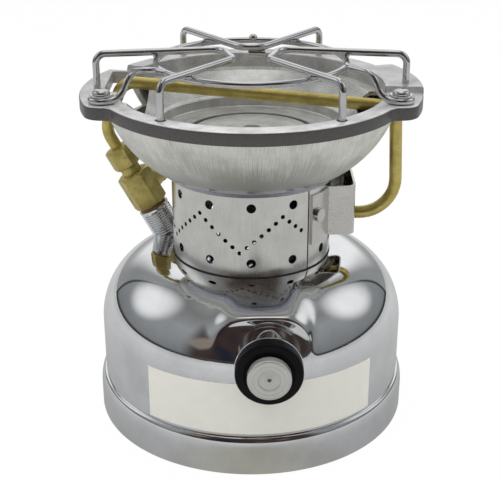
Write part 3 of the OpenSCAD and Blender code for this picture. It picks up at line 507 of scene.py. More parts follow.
def machined_rim(name, light, shaded_raw):
    finish = Finish(name, light, RIM_METALLIC)
    x, y = finish.parts(finish.coords)[:2]
    across, along, up = finish.parts(finish.add("ShaderNodeTexCoord").outputs["Normal"])
    outwards = finish.math("ADD", finish.math("MULTIPLY", across, x), finish.math("MULTIPLY", along, y))
    # Painted shade: outward upright faces take a very dark colour.
    shaded_upright = finish.math("MULTIPLY", finish.span(outwards, 0.01, 0.04), finish.span(up, 0.5, 0.9, 1, 0))
    grain, worn = cast_noise(finish)
    # Painted sheen and shade: the top is brighter in front and darker at the rear.
    front = finish.span(y, -0.06, -0.01, 1.0, REAR_SHADE_SHARE, True)
    tone = finish.math("MULTIPLY", finish.span(worn, 0.36, 0.64, 0.45, 1), front)
    top = finish.blend(tone, (*GRIME_AND_SHADE, 1), (*light, 1))
    shaded_rough_cast = finish.shades(grain, *NOISE_MIDDLE, shaded_raw, tuple(1.5 * c for c in shaded_raw))
    finish.colour(finish.blend(shaded_upright, top, shaded_rough_cast))
    finish.rough_by(grain, 0.42, 0.28)
    finish.bump(grain, 0.25, GRAIN_DEPTH)
    return finish.done()


# The dark second colour is painted shade for the rim's upright faces.
rim_aluminium = machined_rim("rim_aluminium", (0.90, 0.90, 0.90), (0.072, 0.07, 0.068))
bracket_steel = cast("bracket_steel", (0.70, 0.69, 0.66), (0.58, 0.57, 0.54), 0.24, 0.04)
burner_steel = cast("burner_steel", (0.34, 0.33, 0.32), (0.18, 0.17, 0.16), 0.5, 0.3)
cap_aluminium = cast("cap_aluminium", (0.68, 0.68, 0.68), (0.55, 0.55, 0.55), 0.3, 0.08)

# %% [markdown]
# ### Brass
# Brass that has been near a flame turns from yellow to olive. A slow noise moves between the two and a
# finer one adds dark specks of tarnish.

# %% Brass
TARNISH_SCALE = 140
BRASS_METALLIC = 0.9


def aged_brass(name, bright, olive, dark, roughness):
    finish = Finish(name, bright, BRASS_METALLIC)
    slow = finish.noise(finish.coords, TARNISH_SCALE, 4, 0.6)
    specks = finish.noise(finish.coords, SPECK_SCALE, 3, 0.7)
    stain = finish.span(specks, 0.58, 0.72, 0, 0.6)
    finish.colour(finish.blend(stain, finish.shades(slow, 0.35, 0.65, bright, olive), (*dark, 1)))
    finish.rough_by(slow, roughness - 0.08, roughness + 0.1)
    finish.bump(specks, 0.12, MARK_DEPTH)
    return finish.done()


tube_brass = aged_brass("tube_brass", (0.70, 0.575, 0.19), (0.50, 0.405, 0.12), (0.26, 0.20, 0.06), 0.4)
body_brass = aged_brass("body_brass", (0.64, 0.535, 0.19), (0.46, 0.385, 0.12), (0.20, 0.155, 0.05), 0.44)

# %% [markdown]
# ### Plastic, rubber, leather and fibre
# These are not metals: the pump's cap, the valve's wheel and the seals. One colour would do for pieces so
# small, but a fine grain in the bump keeps them from looking like glass.

# %% Plastic, rubber, leather and fibre
def grained(name, light, dark, roughness, scale, strength, shine=0.5):
    finish = Finish(name, light, 0.0, roughness)
    finish.shader.inputs["Specular IOR Level"].default_value = shine
    grain = finish.noise(finish.coords, scale, 4, 0.6)
    slow = finish.noise(finish.coords, scale / 12, 3)
    finish.colour(finish.shades(slow, 0.35, 0.65, light, dark))
    finish.rough_by(grain, roughness - 0.06, roughness + 0.08)
    finish.bump(grain, strength, GRAIN_DEPTH)
    return finish.done()


black_plastic = grained("black_plastic", (0.005, 0.005, 0.006), (0.003, 0.003, 0.004), 0.3, 1600, 0.1, 0.1)
maroon_plastic = grained("maroon_plastic", (0.20, 0.02, 0.03), (0.13, 0.012, 0.018), 0.32, 1400, 0.1)
gasket_rubber = grained("gasket_rubber", (0.03, 0.03, 0.03), (0.02, 0.02, 0.02), 0.6, 1800, 0.2)
piston_leather = grained("piston_leather", (0.26, 0.14, 0.07), (0.16, 0.08, 0.04), 0.55, 1200, 0.5)
seal_fibre = grained("seal_fibre", (0.22, 0.12, 0.06), (0.12, 0.06, 0.03), 0.7, 1500, 0.4)

# %% [markdown]
# The pieces that keep their shape from the frame get their finish now. Most of them are inside, at the
# back, or small.

# %% Dress the pieces that stay
dress(plated_steel, "filler_screw", "air_stem", "plunger_tube")
dress(plated_steel, "wheel_screw", "burner_screw", "bracket_screws")
dress(body_brass, "filler_neck", "pump_barrel", "check_valve", "piston_nut", "packing_nut", "valve_spindle")
dress(body_brass, "fuel_pickup", "gas_tip")
dress(cap_aluminium, "filler_cap")
dress(gasket_rubber, "filler_gasket")
dress(piston_leather, "piston_leather")
dress(seal_fibre, "valve_seal")
dress(maroon_plastic, "valve_wheel")
dress(collar_steel, "burner_collar", "collar_ring")
dress(bracket_steel, "mixer_bracket")
dress(burner_steel, "mixing_tube", "burner_base", "burner_rings")

# %% [markdown]
# ## Tank
# The tank is drawn from sheet: a flat top, a wide round shoulder and a straight wall. Mirror chrome shows
# every facet, so the outline is fine and is spun in many steps. Above the pump the sheet is drawn out into
# a hood with an upright face: each point near the pump's axis is moved forwards to a soft maximum of the
# tank's own surface and the hood, which leaves a smooth hollow between them. A power of three in the
# distance from the axis makes the hood squarer than a circle, and it is wider on the left.

# %% Tank
TANK_R = 74.5
TANK_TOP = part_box("fount_shell")[1].z / MM
TANK_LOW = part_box("fount_shell")[0].z / MM
SHOULDER_R = 34.5
SHOULDER_Z = TANK_TOP - SHOULDER_R
SHOULDER_STEPS, WALL_STEPS, TANK_STEPS = 96, 24, 400
HOOD_FRONT = 66.0
HOOD_R = 17.0
HOOD_SLOPE = 4.0
HOOD_ROUND = 3.0
HOOD_SOFT = 1.5
HOOD_REACH = 38.0
HOOD_FADE = 12.0
HOOD_LEFT, HOOD_RIGHT = 0.7, 0.95
HOOD_POWER = 3
FRONT_HALF = -30.0


def drawn_out(tank_reach, from_axis):
    beyond = max(from_axis - HOOD_R, 0)
    hood = HOOD_FRONT - HOOD_SLOPE * (math.hypot(beyond, HOOD_ROUND) - HOOD_ROUND)
    raised = HOOD_SOFT * math.log1p(math.exp((hood - tank_reach) / HOOD_SOFT))
    fading = min(max((HOOD_REACH - from_axis) / HOOD_FADE, 0), 1)
    return tank_reach + raised * fading * fading * (3 - 2 * fading)


def from_pump(point):
    up = (point.z - PUMP_AXIS[2]) / MM
    aside = (point.x - PUMP_AXIS[0]) / MM
    aside *= HOOD_LEFT if aside < 0 else HOOD_RIGHT
    return (abs(aside) ** HOOD_POWER + abs(up) ** HOOD_POWER) ** (1 / HOOD_POWER)


shoulder = arc((TANK_R - SHOULDER_R, SHOULDER_Z), SHOULDER_R, 90, 0, SHOULDER_STEPS)
wall_step = (SHOULDER_Z - TANK_LOW) / WALL_STEPS
wall = [(TANK_R, TANK_LOW + wall_step * i) for i in range(WALL_STEPS - 1, -1, -1)]
tank = turned("tank", [(0, TANK_TOP)] + shoulder + wall + [(0, TANK_LOW)], TANK_STEPS)
for vertex in tank.data.vertices:
    from_axis = from_pump(vertex.co)
    if vertex.co.y < FRONT_HALF * MM and from_axis < HOOD_REACH:
        vertex.co.y = -drawn_out(-vertex.co.y / MM, from_axis) * MM
settle(tank, tank_chrome, ["fount_shell"], angle=60)

# %% [markdown]
# The tank is pressed into a foot hoop, which also carries the dished floor. The hoop's upper edge is a
# quarter of an ellipse that runs out on the tank's wall.

# %% Foot hoop
HOOP_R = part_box("fount_base")[1].x / MM
HOOP_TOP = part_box("fount_base")[1].z / MM
HOOP_WALL = 5.0
HOOP_FACE = 12.0
HOOP_IN = TANK_R + 0.5
HOOP_STEPS = 12
FLOOR = 6.0
FLOOR_TOP = FLOOR + 3
DISH = FLOOR + 2
DISH_R, DISH_EDGE_R = 48, 52

hoop_round = arc((HOOP_IN, HOOP_FACE), HOOP_R - HOOP_IN, 0, 90, HOOP_STEPS, HOOP_TOP - HOOP_FACE)
hoop_outline = [
    (0, DISH), (DISH_R, DISH, 3), (DISH_EDGE_R, FLOOR, 3), (HOOP_R - HOOP_WALL, FLOOR, 1),
    (HOOP_R - HOOP_WALL, 0, 0.4), (HOOP_R, 0, 1),
] + hoop_round + [(TANK_R - 1, HOOP_TOP), (TANK_R - 1, FLOOR_TOP), (0, FLOOR_TOP)]
settle(turned("foot_hoop", hoop_outline, 256), tank_chrome, ["fount_base"])

# %% [markdown]
# ## Pump
# A plated cup soldered into the tank holds a black cap with a thick brim, and the plunger's knob rests on
# the brim. All are turned along Z from the tank's axis and then laid along the pump's own axis.

# %% Sizes of the pump
FORWARD = (0, -1, 0)


def front_of(node):
    return -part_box(node)[0].y / MM


def radius_of(node):
    low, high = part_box(node)
    return (high.z - low.z) / 2 / MM


def on_pump(name, outline, finish, nodes=(), body="stove"):
    return settle(stand(turned(name, outline), PUMP_AXIS, FORWARD), finish, nodes, body)


CUP_LIP, CAP_FACE, KNOB_FACE = front_of("pump_cup"), front_of("pump_cap"), front_of("pump_knob")
LIP_R, BRIM_R, KNOB_R = radius_of("pump_cup"), radius_of("pump_cap"), radius_of("pump_knob")
KNOB_BACK = -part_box("pump_knob")[1].y / MM
print("pump reaches", round(KNOB_FACE, 2), "mm forwards")

# %% [markdown]
# The cup has a beaded lip, and a thin ring closes the gap where it enters the hood.

# %% Cup and its ring
CUP_R = 14.9
CUP_BORE = 13.7
CUP_BACK = 60
BEAD_BACK = CUP_LIP - 0.9
EDGE_R = CUP_R + 1.1
EDGE_IN = CUP_R + 0.1
EDGE_FRONT = HOOD_FRONT + 0.6

on_pump("pump_cup_shell", [
    (CUP_BORE, CUP_BACK), (CUP_R, CUP_BACK), (CUP_R, BEAD_BACK - 0.2, 0.3), (LIP_R, BEAD_BACK, 0.3),
    (LIP_R, CUP_LIP, 0.4), (CUP_BORE, CUP_LIP, 0.2),
], tank_chrome, ["pump_cup"])
on_pump("boss_edge", [
    (CUP_R, CUP_BACK), (EDGE_R, CUP_BACK), (EDGE_R, EDGE_FRONT, 0.6), (EDGE_IN, EDGE_FRONT, 0.3),
    (EDGE_IN, HOOD_FRONT - 0.2),
], tank_chrome)

# %% [markdown]
# The cap's brim has a rounded outer edge and a flat seat for the knob. The knob has a thumb hole in the
# middle of a shallow dimple.

# %% Cap and knob
CAP_BACK = 72
CAP_BORE = 3.6
CAP_R = CUP_BORE - 0.1
BRIM_BACK = CUP_LIP + 0.05
SEAT_Z = CAP_FACE - 0.4
KNOB_BORE = 3.55
DIMPLE_R = 4.9
HOLE_R = 0.9
HOLE_END = KNOB_FACE - 2.2

on_pump("pump_cap_ring", [
    (CAP_BORE, CAP_BACK), (CAP_R, CAP_BACK), (CAP_R, BRIM_BACK), (BRIM_R, BRIM_BACK, 0.3),
    (BRIM_R, CAP_FACE, 1.2), (KNOB_R + 1.5, CAP_FACE, 0.4), (KNOB_R + 1.1, SEAT_Z, 0.3),
    (CAP_BORE, SEAT_Z),
], black_plastic, ["pump_cap"])
on_pump("knob_disc", [
    (KNOB_BORE, KNOB_BACK), (KNOB_R, KNOB_BACK, 0.4), (KNOB_R, KNOB_FACE, 0.9), (DIMPLE_R, KNOB_FACE, 0.2),
    (DIMPLE_R - 0.3, KNOB_FACE - 0.5, 0.2), (HOLE_R, KNOB_FACE - 0.9, 0.2), (HOLE_R, HOLE_END), (0, HOLE_END),
    (0, HOLE_END - 0.5), (KNOB_BORE, HOLE_END - 0.6),
], knob_aluminium, ["pump_knob"], "plunger")

# %% [markdown]
# ## Bowl
# The bowl is a casting, a round wall that widens into a thick rim, and it is made in these two pieces. The
# rim could be an outline that is extruded, but then its edges would be hard to round. So it is turned as a
# ring with eased edges, and its points are pushed by direction: out to the lugs and the round screw ears,
# out to the generator's slot on the left of the inside, and up along the raised rear half. Ear and rim meet
# in a hollow: a small circle that touches both. The functions below give the reach in each direction.

# %% Reach of the rim
RIM_TOP = 162.0
RIM_LOW = 156.0
RIM_R = 70.9
RIM_IN = 62.0
LUG_R = 79.5
LUG_FROM = 152
EAR = Vector((66.5, -25))
EAR_R = LUG_R - EAR.length
EAR_AZ = 180 + math.degrees(math.atan2(-EAR.y, EAR.x))
HOLLOW_R = 6.0
HOLLOW_D = RIM_R + HOLLOW_R
SLOT_X = 68.4
SLOT_LEFT = (-7, 32)
SLOT_RIGHT = (-11, 13)
TINY = 0.001

SPREAD = math.degrees(math.acos(
    (EAR.length ** 2 + HOLLOW_D ** 2 - (EAR_R + HOLLOW_R) ** 2) / (2 * EAR.length * HOLLOW_D)
))
TO_HOLLOW = Vector((
    HOLLOW_D * math.cos(math.radians(SPREAD)) - EAR.length, HOLLOW_D * math.sin(math.radians(SPREAD))
)).normalized()
TOUCH = math.degrees(math.atan2(EAR_R * TO_HOLLOW.y, EAR.length + EAR_R * TO_HOLLOW.x))


def crossing(distance, radius, degrees, far):
    along = distance * math.cos(math.radians(degrees))
    room = radius ** 2 - (distance * math.sin(math.radians(degrees))) ** 2
    return along + (1 if far else -1) * math.sqrt(max(room, 0))


def outer_reach(degrees):
    for direction in (degrees % 360, (180 - degrees) % 360):
        past_ear = direction - EAR_AZ
        if LUG_FROM <= direction and past_ear <= 0:
            return LUG_R
        if 0 < past_ear < TOUCH:
            return crossing(EAR.length, EAR_R, past_ear, True)
        if TOUCH <= past_ear < SPREAD:
            return crossing(HOLLOW_D, HOLLOW_R, SPREAD - past_ear, False)
    return RIM_R


def inner_reach(degrees):
    x = math.cos(math.radians(degrees))
    y = math.sin(math.radians(degrees))
    if x >= 0:
        return RIM_IN
    front, back = SLOT_LEFT
    side = back / y if y > TINY else front / y if y < -TINY else SLOT_X * 2
    return max(RIM_IN, min(SLOT_X / max(abs(x), TINY), side))


print("ear radius", round(EAR_R, 2), "and its hollow ends", round(SPREAD, 1), "degrees past it")

# %% [markdown]
# Now the ring is turned and pushed. Outside, each direction takes the mean of three close ones, which
# rounds the lugs' corners by a hair.

# %% Rim with lugs and ears
REAR_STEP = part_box("bowl_rim")[1].z / MM - RIM_TOP
REAR_SPAN = (-6, 150)
RIM_STEPS = 720
RIM_SEAM_R = 64
RIM_MIDDLE_R = (RIM_R + RIM_IN) / 2
RIM_MIDDLE_Z = (RIM_TOP + RIM_LOW) / 2


def smoothed(reach, degrees):
    return sum(reach(degrees + k * 0.5) for k in (-1, 0, 1)) / 3


rim = turned("rim_ring", [
    (RIM_SEAM_R, RIM_LOW), (RIM_R, RIM_LOW, 0.5), (RIM_R, RIM_TOP, 0.9), (RIM_IN, RIM_TOP, 0.6),
    (RIM_IN, RIM_LOW, 0.2),
], RIM_STEPS)
for vertex in rim.data.vertices:
    degrees = math.degrees(math.atan2(vertex.co.y, vertex.co.x))
    reach = math.hypot(vertex.co.x, vertex.co.y) / MM
    if reach > RIM_MIDDLE_R:
        shift = smoothed(outer_reach, degrees) - RIM_R
    else:
        shift = inner_reach(degrees) - RIM_IN
    scale = (reach + shift) / reach
    at_rear = REAR_SPAN[0] <= degrees <= REAR_SPAN[1]
    raised = REAR_STEP if at_rear and vertex.co.z > RIM_MIDDLE_Z * MM else 0
    vertex.co = (vertex.co.x * scale, vertex.co.y * scale, vertex.co.z + raised * MM)
settle(rim, rim_aluminium, ["bowl_rim"])

# %% [markdown]
# The wall is one arc from the skirt on the collar up to the rim, with an inner wall that is 2.2 mm inside
# it. Two boxes cut the slots through which the generator enters and leaves the bowl.

# %% Wall of the bowl
COLLAR_TOP = 125.0
BOWL_FOOT = Vector((43.35, COLLAR_TOP))
BOWL_SHOULDER = Vector((67.9, RIM_LOW))
BOWL_CURVE = 52.0
BOWL_WALL = 2.2
BOWL_INSIDE = COLLAR_TOP + BOWL_WALL
BOWL_HOLE = 10
SKIRT_IN, SKIRT_OUT = 38.5, 41.2
FOOT_R = 42
SKIRT_LOW = COLLAR_TOP - 2.5
LEDGE_R, INNER_SHOULDER_R = 58.0, 65.6
SLOT_LOW = 145.0
SLOT_SIZE_X, SLOT_MIDDLE_X, SLOT_SIZE_Z = 18.4, 59.2, 30


def wall_arc(offset, steps=36):
    across = BOWL_SHOULDER - BOWL_FOOT
    half = across.length / 2
    right = Vector((across.y, -across.x)).normalized()
    centre = (BOWL_FOOT + BOWL_SHOULDER) / 2 - right * math.sqrt(BOWL_CURVE ** 2 - half ** 2)
    start = math.degrees(math.atan2(*reversed(BOWL_FOOT - centre)))
    end = math.degrees(math.atan2(*reversed(BOWL_SHOULDER - centre)))
    return arc(centre, BOWL_CURVE - offset, start, end, steps)


def slotted(piece):
    for side, (front, back) in ((-1, SLOT_LEFT), (1, SLOT_RIGHT)):
        fresh()
        bpy.ops.mesh.primitive_cube_add(size=1)
        cutter = bpy.context.object
        cutter.scale = Vector((SLOT_SIZE_X, back - front, SLOT_SIZE_Z)) * MM
        cutter.location = Vector((side * SLOT_MIDDLE_X, (back + front) / 2, SLOT_LOW + SLOT_SIZE_Z / 2)) * MM
        keep_place()
        cut(piece, cutter)
    return piece


inside = [p for p in wall_arc(BOWL_WALL) if BOWL_INSIDE < p[1] < RIM_LOW]
wall_outline = [
    (BOWL_HOLE, COLLAR_TOP), (SKIRT_IN, COLLAR_TOP), (SKIRT_IN, SKIRT_LOW), (SKIRT_OUT, SKIRT_LOW, 0.8),
    (FOOT_R, COLLAR_TOP - 0.6, 0.6),
] + wall_arc(0) + [
    (BOWL_SHOULDER.x, RIM_LOW + 2), (LEDGE_R, RIM_LOW + 0.8), (LEDGE_R, RIM_LOW),
    (INNER_SHOULDER_R, RIM_LOW),
] + inside[::-1] + [(inside[0][0] - 2, BOWL_INSIDE), (BOWL_HOLE, BOWL_INSIDE)]
settle(slotted(turned("bowl_wall", wall_outline, 192)), bowl_aluminium, ["burner_bowl"])

# %% [markdown]
# ## Drip pan and burner cap
# The pan is held by its edge under the rim and catches what boils over. It is a thin turned dish with a
# sharp step, and it has the bowl's slots.

# %% Drip pan
PAN_FLOOR = 141.0
PAN_UNDER = PAN_FLOOR - 1
PAN_HOLE = 31.6
PAN_EDGE_R = 63
PAN_STEP_R = 44

pan_outline = [
    (PAN_HOLE, PAN_UNDER), (PAN_STEP_R + 1, PAN_UNDER), (PAN_STEP_R + 1, PAN_FLOOR + 4, 0.5),
    (LEDGE_R + 0.5, RIM_LOW - 1), (PAN_EDGE_R, RIM_LOW - 1), (PAN_EDGE_R, RIM_LOW),
    (LEDGE_R, RIM_LOW + 0.6, 0.5), (PAN_STEP_R + 2, PAN_FLOOR + 6, 1.0), (PAN_STEP_R, PAN_FLOOR + 5, 0.6),
    (PAN_STEP_R, PAN_FLOOR, 1.0), (PAN_HOLE, PAN_FLOOR),
]
settle(slotted(turned("drip_dish", pan_outline, 192)), pan_aluminium, ["drip_pan"])

# %% [markdown]
# The burner's cap is a flat disc with a raised middle, held by one screw from above. It is turned too.

# %% Burner cap
FLAME_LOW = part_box("burner_cap")[0].z / MM
FLAME_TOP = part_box("burner_cap")[1].z / MM
FLAME_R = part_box("burner_cap")[1].x / MM
FLAME_EDGE = FLAME_LOW + 1.5
FLAME_BORE = 2.1
CROWN_FOOT_R, CROWN_R = 13.5, 11

flame_outline = [
    (FLAME_BORE, FLAME_LOW), (FLAME_R, FLAME_LOW, 0.3), (FLAME_R, FLAME_EDGE, 0.6),
    (CROWN_FOOT_R, FLAME_EDGE, 1.0), (CROWN_R, FLAME_TOP, 1.2), (FLAME_BORE, FLAME_TOP),
]
settle(turned("flame_cap", flame_outline, 160), pan_aluminium, ["burner_cap"])

# %% [markdown]
# ## Bent wire
# The grate and the generator are bent round rod. A curve with a round bevel sweeps the section along a
# route, and it is then made a mesh. Three fingers carry the pot. Each stands with two feet in the rim and
# comes to a wide rounded end near the middle, so it has two corners there.

# %% Fingers
BEND_STEPS = 12


def rod(name, points, radius):
    fresh()
    bpy.ops.curve.primitive_nurbs_path_add()
    piece = bpy.context.object
    piece.name = name
    curve = piece.data
    curve.splines.clear()
    spline = curve.splines.new("POLY")
    spline.points.add(len(points) - 1)
    for target, point in zip(spline.points, points):
        target.co = (*(point * MM), 1)
    curve.bevel_depth = radius * MM
    curve.bevel_resolution = 6
    curve.use_fill_caps = True
    pick(piece)
    bpy.ops.object.convert(target="MESH")
    return closed(bpy.context.object)


def polar(radius, degrees, height):
    a = math.radians(degrees)
    return Vector((radius * math.cos(a), radius * math.sin(a), height))


FINGER_WIRE = 1.65
FINGER_Z = 178.0
FOOT_Z = 159.05
FOOT_BEND, END_BEND = 4.5, 7.5
feet = [
    Vector((-71.8, 0, 0)), Vector((71.8, 0, 0)),
    polar(65, 234, 0), polar(65, 306, 0), polar(66.5, 58.5, 0), polar(66.5, 121.5, 0),
]
fingers = {
    "finger_left": (feet[0], Vector((-13, 9.7, 0)), Vector((-8, -9.8, 0)), feet[2]),
    "finger_right": (feet[1], Vector((13, 9.7, 0)), Vector((8, -9.8, 0)), feet[3]),
    "finger_rear": (feet[4], Vector((5, 14, 0)), Vector((-5, 14, 0)), feet[5]),
}
for node, (first, near, far, last) in fingers.items():
    corners = [place + Vector((0, 0, FINGER_Z)) for place in (first, near, far, last)]
    ends = [place + Vector((0, 0, FOOT_Z)) for place in (first, last)]
    bends = [FOOT_BEND, END_BEND, END_BEND, FOOT_BEND]
    wire = rod(node + "_wire", route([ends[0]] + corners + [ends[1]], bends, BEND_STEPS), FINGER_WIRE)
    settle(wire, wire_chrome, [node], angle=50)

# %% [markdown]
# Two wires make the ring under the fingers. Each starts in an eye round a screw on its ear, climbs to the
# ring's height and then follows the ring.

# %% Ring wires
RING_WIRE = 1.5
SEAM = 0.05
RING_Z = FINGER_Z - FINGER_WIRE - RING_WIRE - SEAM
RING_R = 44.0
RING_STEPS = 72
EYE_R = 4.8
EYE_Z = RIM_TOP + RING_WIRE + SEAM
EYE_LEAVE = 29
EYE_TURN, EYE_STEPS = 270, 36
EYE_STRAIGHT, CLIMB, LEAD_IN = 7, 5, 8
ARM_BENDS = [8, 8, 8]


def ring_route(side, start, end):
    eye = Vector((side * EAR.x, EAR.y, EYE_Z))
    leave = 270 - EYE_LEAVE if side > 0 else EYE_LEAVE - 90
    way = Vector((-side * math.cos(math.radians(EYE_LEAVE)), math.sin(math.radians(EYE_LEAVE)), 0))
    turns = [side * EYE_TURN * (1 - i / EYE_STEPS) for i in range(EYE_STEPS + 1)]
    loop = [eye + polar(EYE_R, leave + turn, 0) for turn in turns]
    foot = loop[-1] + way * EYE_STRAIGHT
    top = foot + way * CLIMB + Vector((0, 0, RING_Z - EYE_Z))
    begin = polar(RING_R, start, RING_Z)
    corner = begin - polar(LEAD_IN, start + 90, 0)
    arm = route([loop[-1], foot, top, corner, begin], ARM_BENDS)
    ring = [polar(RING_R, start + (end - start) * i / RING_STEPS, RING_Z) for i in range(RING_STEPS + 1)]
    return loop + arm[1:-1] + ring


for node, side, start, end in (("grate_wire_front", -1, 200, 341), ("grate_wire_rear", 1, -5, 187)):
    wire = rod(node + "_rod", ring_route(side, start, end), RING_WIRE)
    settle(wire, wire_chrome, [node], angle=50)

# %% [markdown]
# The generator tube starts in the valve, which leans outwards, crosses the bowl over the burner, where the
# flame heats it, and comes back below to the jet.

# %% Generator
VALVE_FOOT = Vector((-43, 24, 80.738))
LEAN = math.radians(28.5)
VALVE_WAY = Vector((-math.sin(LEAN), 0, math.cos(LEAN)))
PIPE_R = 3.0
PIPE_START, PIPE_RISE = 41.85, 61.8
PIPE_BENDS = [12, 9, 8, 17]
pipe_corners = [
    VALVE_FOOT + VALVE_WAY * PIPE_START, VALVE_FOOT + VALVE_WAY * PIPE_RISE,
    Vector((-62, 19, 160.2)), Vector((68, 0, 153)), Vector((70.45, 0, 100)), Vector((48.45, 0, 100)),
]
generator = rod("generator_pipe", route(pipe_corners, PIPE_BENDS, BEND_STEPS), PIPE_R)
settle(generator, tube_brass, ["generator_tube"], angle=50)

# %% [markdown]
# ## Valve
# The bung is threaded, so its outline is a row of ridges. A true thread is a helix, but at this pitch rings
# look the same, and a turned piece stays closed.

# %% Bung
BUNG_R, BUNG_ROOT, BUNG_BORE = 8, 7.4, 5.6
BUNG_LOW, BUNG_TOP = -6, 15.2
THREAD_LOW, THREAD_TOP = 1.2, 14
THREAD_PITCH, THREAD_TURNS = 1.25, 10

ridges = []
for i in range(THREAD_TURNS):
    crest = THREAD_LOW + THREAD_PITCH * i
    ridges += [(BUNG_R, crest, 0.15), (BUNG_ROOT, crest + 0.6, 0.15)]
bung_outline = [(BUNG_BORE, BUNG_LOW), (BUNG_R, BUNG_LOW)] + ridges + [
    (BUNG_R, THREAD_TOP), (BUNG_R, BUNG_TOP, 0.3), (BUNG_BORE, BUNG_TOP),
]
bung = stand(turned("bung_thread", bung_outline, 96), VALVE_FOOT * MM, VALVE_WAY)
settle(bung, tank_chrome, ["valve_bung"])

# %% [markdown]
# The two brass hexagons start as six-sided prisms, lose their sharp corners to a turned barrel, as a nut
# does on the lathe, and get eased edges. The valve's body is a hexagon on a round shank, with a round boss
# for the spindle.

# %% Valve body and generator nut
NUT_EDGE = 0.25
FACE_INSET = 0.4
CORNER_SHARE = 0.9


def nut(name, flats, low, high):
    fresh()
    corner = flats / 2 / math.cos(math.radians(30))
    bpy.ops.mesh.primitive_cylinder_add(
        vertices=6, radius=corner * MM, depth=(high - low) * MM, location=(0, 0, (low + high) / 2 * MM)
    )
    piece = bpy.context.object
    piece.name = name
    bpy.ops.transform.rotate(value=math.radians(30), orient_axis="Z", center_override=(0, 0, 0))
    keep_place()
    slope = (corner - flats / 2) * CORNER_SHARE
    face = flats / 2 - FACE_INSET
    barrel = turned("barrel", [
        (0, low - 1), (face, low - 1), (face, low), (corner, low + slope),
        (corner, high - slope), (face, high), (face, high + 1), (0, high + 1),
    ], 96)
    return ease(cut(piece, barrel, "INTERSECT"), NUT_EDGE)


BODY_FLATS, BODY_LOW, BODY_TOP = 16, 16.8, 35.8
SHANK_R, NECK_R, NECK_TOP = 5.5, 5, 41.8
UNION_FLATS, UNION_LOW, UNION_TOP = 13, 39.8, 50.8
BODY_MIDDLE = (BODY_LOW + BODY_TOP) / 2
SPINDLE_FOOT = (VALVE_FOOT + VALVE_WAY * BODY_MIDDLE) * MM
SPINDLE_TURN = math.radians(65)
VALVE_SIDE = Vector((math.cos(LEAN), 0, math.sin(LEAN)))
SPINDLE_WAY = VALVE_SIDE * math.cos(SPINDLE_TURN) + Vector((0, math.sin(SPINDLE_TURN), 0))
BOSS_R, BOSS_LENGTH, SPINDLE_BORE, BORE_END = 6, 15, 2.3, 8

hexagon = nut("valve_block", BODY_FLATS, BODY_LOW, BODY_TOP)
shank = turned("shank", [
    (0, BUNG_LOW), (SHANK_R, BUNG_LOW), (SHANK_R, BODY_LOW + 0.5), (NECK_R, BODY_LOW + 1),
    (NECK_R, BODY_TOP - 1), (NECK_R, NECK_TOP, 0.4), (0, NECK_TOP),
], 64)
valve_block = stand(join("valve_block", [hexagon, shank]), VALVE_FOOT * MM, VALVE_WAY)
boss = turned("boss", [
    (0, 0), (BOSS_R, 0), (BOSS_R, BOSS_LENGTH, 0.5), (SPINDLE_BORE, BOSS_LENGTH), (SPINDLE_BORE, BORE_END),
    (0, BORE_END),
], 64)
stand(boss, SPINDLE_FOOT, SPINDLE_WAY)
settle(join("valve_block", [valve_block, boss]), body_brass, ["valve_body"])

union = stand(nut("generator_union", UNION_FLATS, UNION_LOW, UNION_TOP), VALVE_FOOT * MM, VALVE_WAY)
settle(union, body_brass, ["generator_nut"])

# %% [markdown]
# ## Screws, washers and welds
# A dome-head screw and a washer hold each eye of the ring wires. Both are turned, once for each ear, and
# then joined, because they share a node.

# %% Screws and washers
WASHER_R, WASHER_BORE = 5.2, 2.3
WASHER_Z = EYE_Z + RING_WIRE + SEAM
HEAD_Z = WASHER_Z + 0.8
HEAD_R, HEAD_EDGE, HEAD_DOME = 4, 0.6, 1.8
SCREW_R = 2.2

dome = arc((0, HEAD_Z + HEAD_EDGE), HEAD_R, 0, 90, 9, HEAD_DOME)
shaft = [(0, RIM_LOW), (SCREW_R, RIM_LOW), (SCREW_R, HEAD_Z), (HEAD_R, HEAD_Z)]
washers, screws = [], []
for side in (-1, 1):
    place = Vector((side * EAR.x, EAR.y, 0)) * MM
    washer = turned("washer", [
        (WASHER_BORE, WASHER_Z), (WASHER_R, WASHER_Z, 0.25), (WASHER_R, HEAD_Z, 0.25), (WASHER_BORE, HEAD_Z),
    ], 64)
    washers.append(stand(washer, place, UP))
    screws.append(stand(turned("screw", shaft + dome, 64), place, UP))
settle(join("eye_washers", washers), plated_steel, ["grate_washers"])
settle(join("dome_screws", screws), plated_steel, ["grate_screws"])

# %% [markdown]
# Where a finger crosses the ring, the two wires are welded, which leaves a small bead between them. There
# is one more bead at the rear of the ring, and a short stub of wire under the rear finger's end.

# %% Weld beads
BEAD_R, BEAD_FLAT = 1.9, 0.8
REAR_BEAD_R = 2.2
REAR_BEAD = Vector((1, RING_R, RING_Z + 1))
STUB_R = 1.6
STUB_ENDS = [Vector((-1.5, 14.2, 175.3)), Vector((6.5, 15, 174.8))]
CROSSING_STEPS = 400


def bead(place, radius, flat=1.0):
    fresh()
    bpy.ops.mesh.primitive_uv_sphere_add(segments=20, ring_count=12, radius=radius * MM)
    piece = bpy.context.object
    piece.scale = (1, 1, flat)
    piece.location = place * MM
    keep_place()
    return piece


beads = []
for first, near, far, last in fingers.values():
    for foot, inner in ((first, near), (last, far)):
        leg = [inner + (foot - inner) * s / CROSSING_STEPS for s in range(CROSSING_STEPS + 1)]
        over_ring = next(place for place in leg if place.length >= RING_R)
        beads.append(bead(over_ring + Vector((0, 0, RING_Z + RING_WIRE)), BEAD_R, BEAD_FLAT))
beads.append(bead(REAR_BEAD, REAR_BEAD_R))
beads.append(rod("stub", STUB_ENDS, STUB_R))
settle(join("grate_welds", beads), wire_chrome)

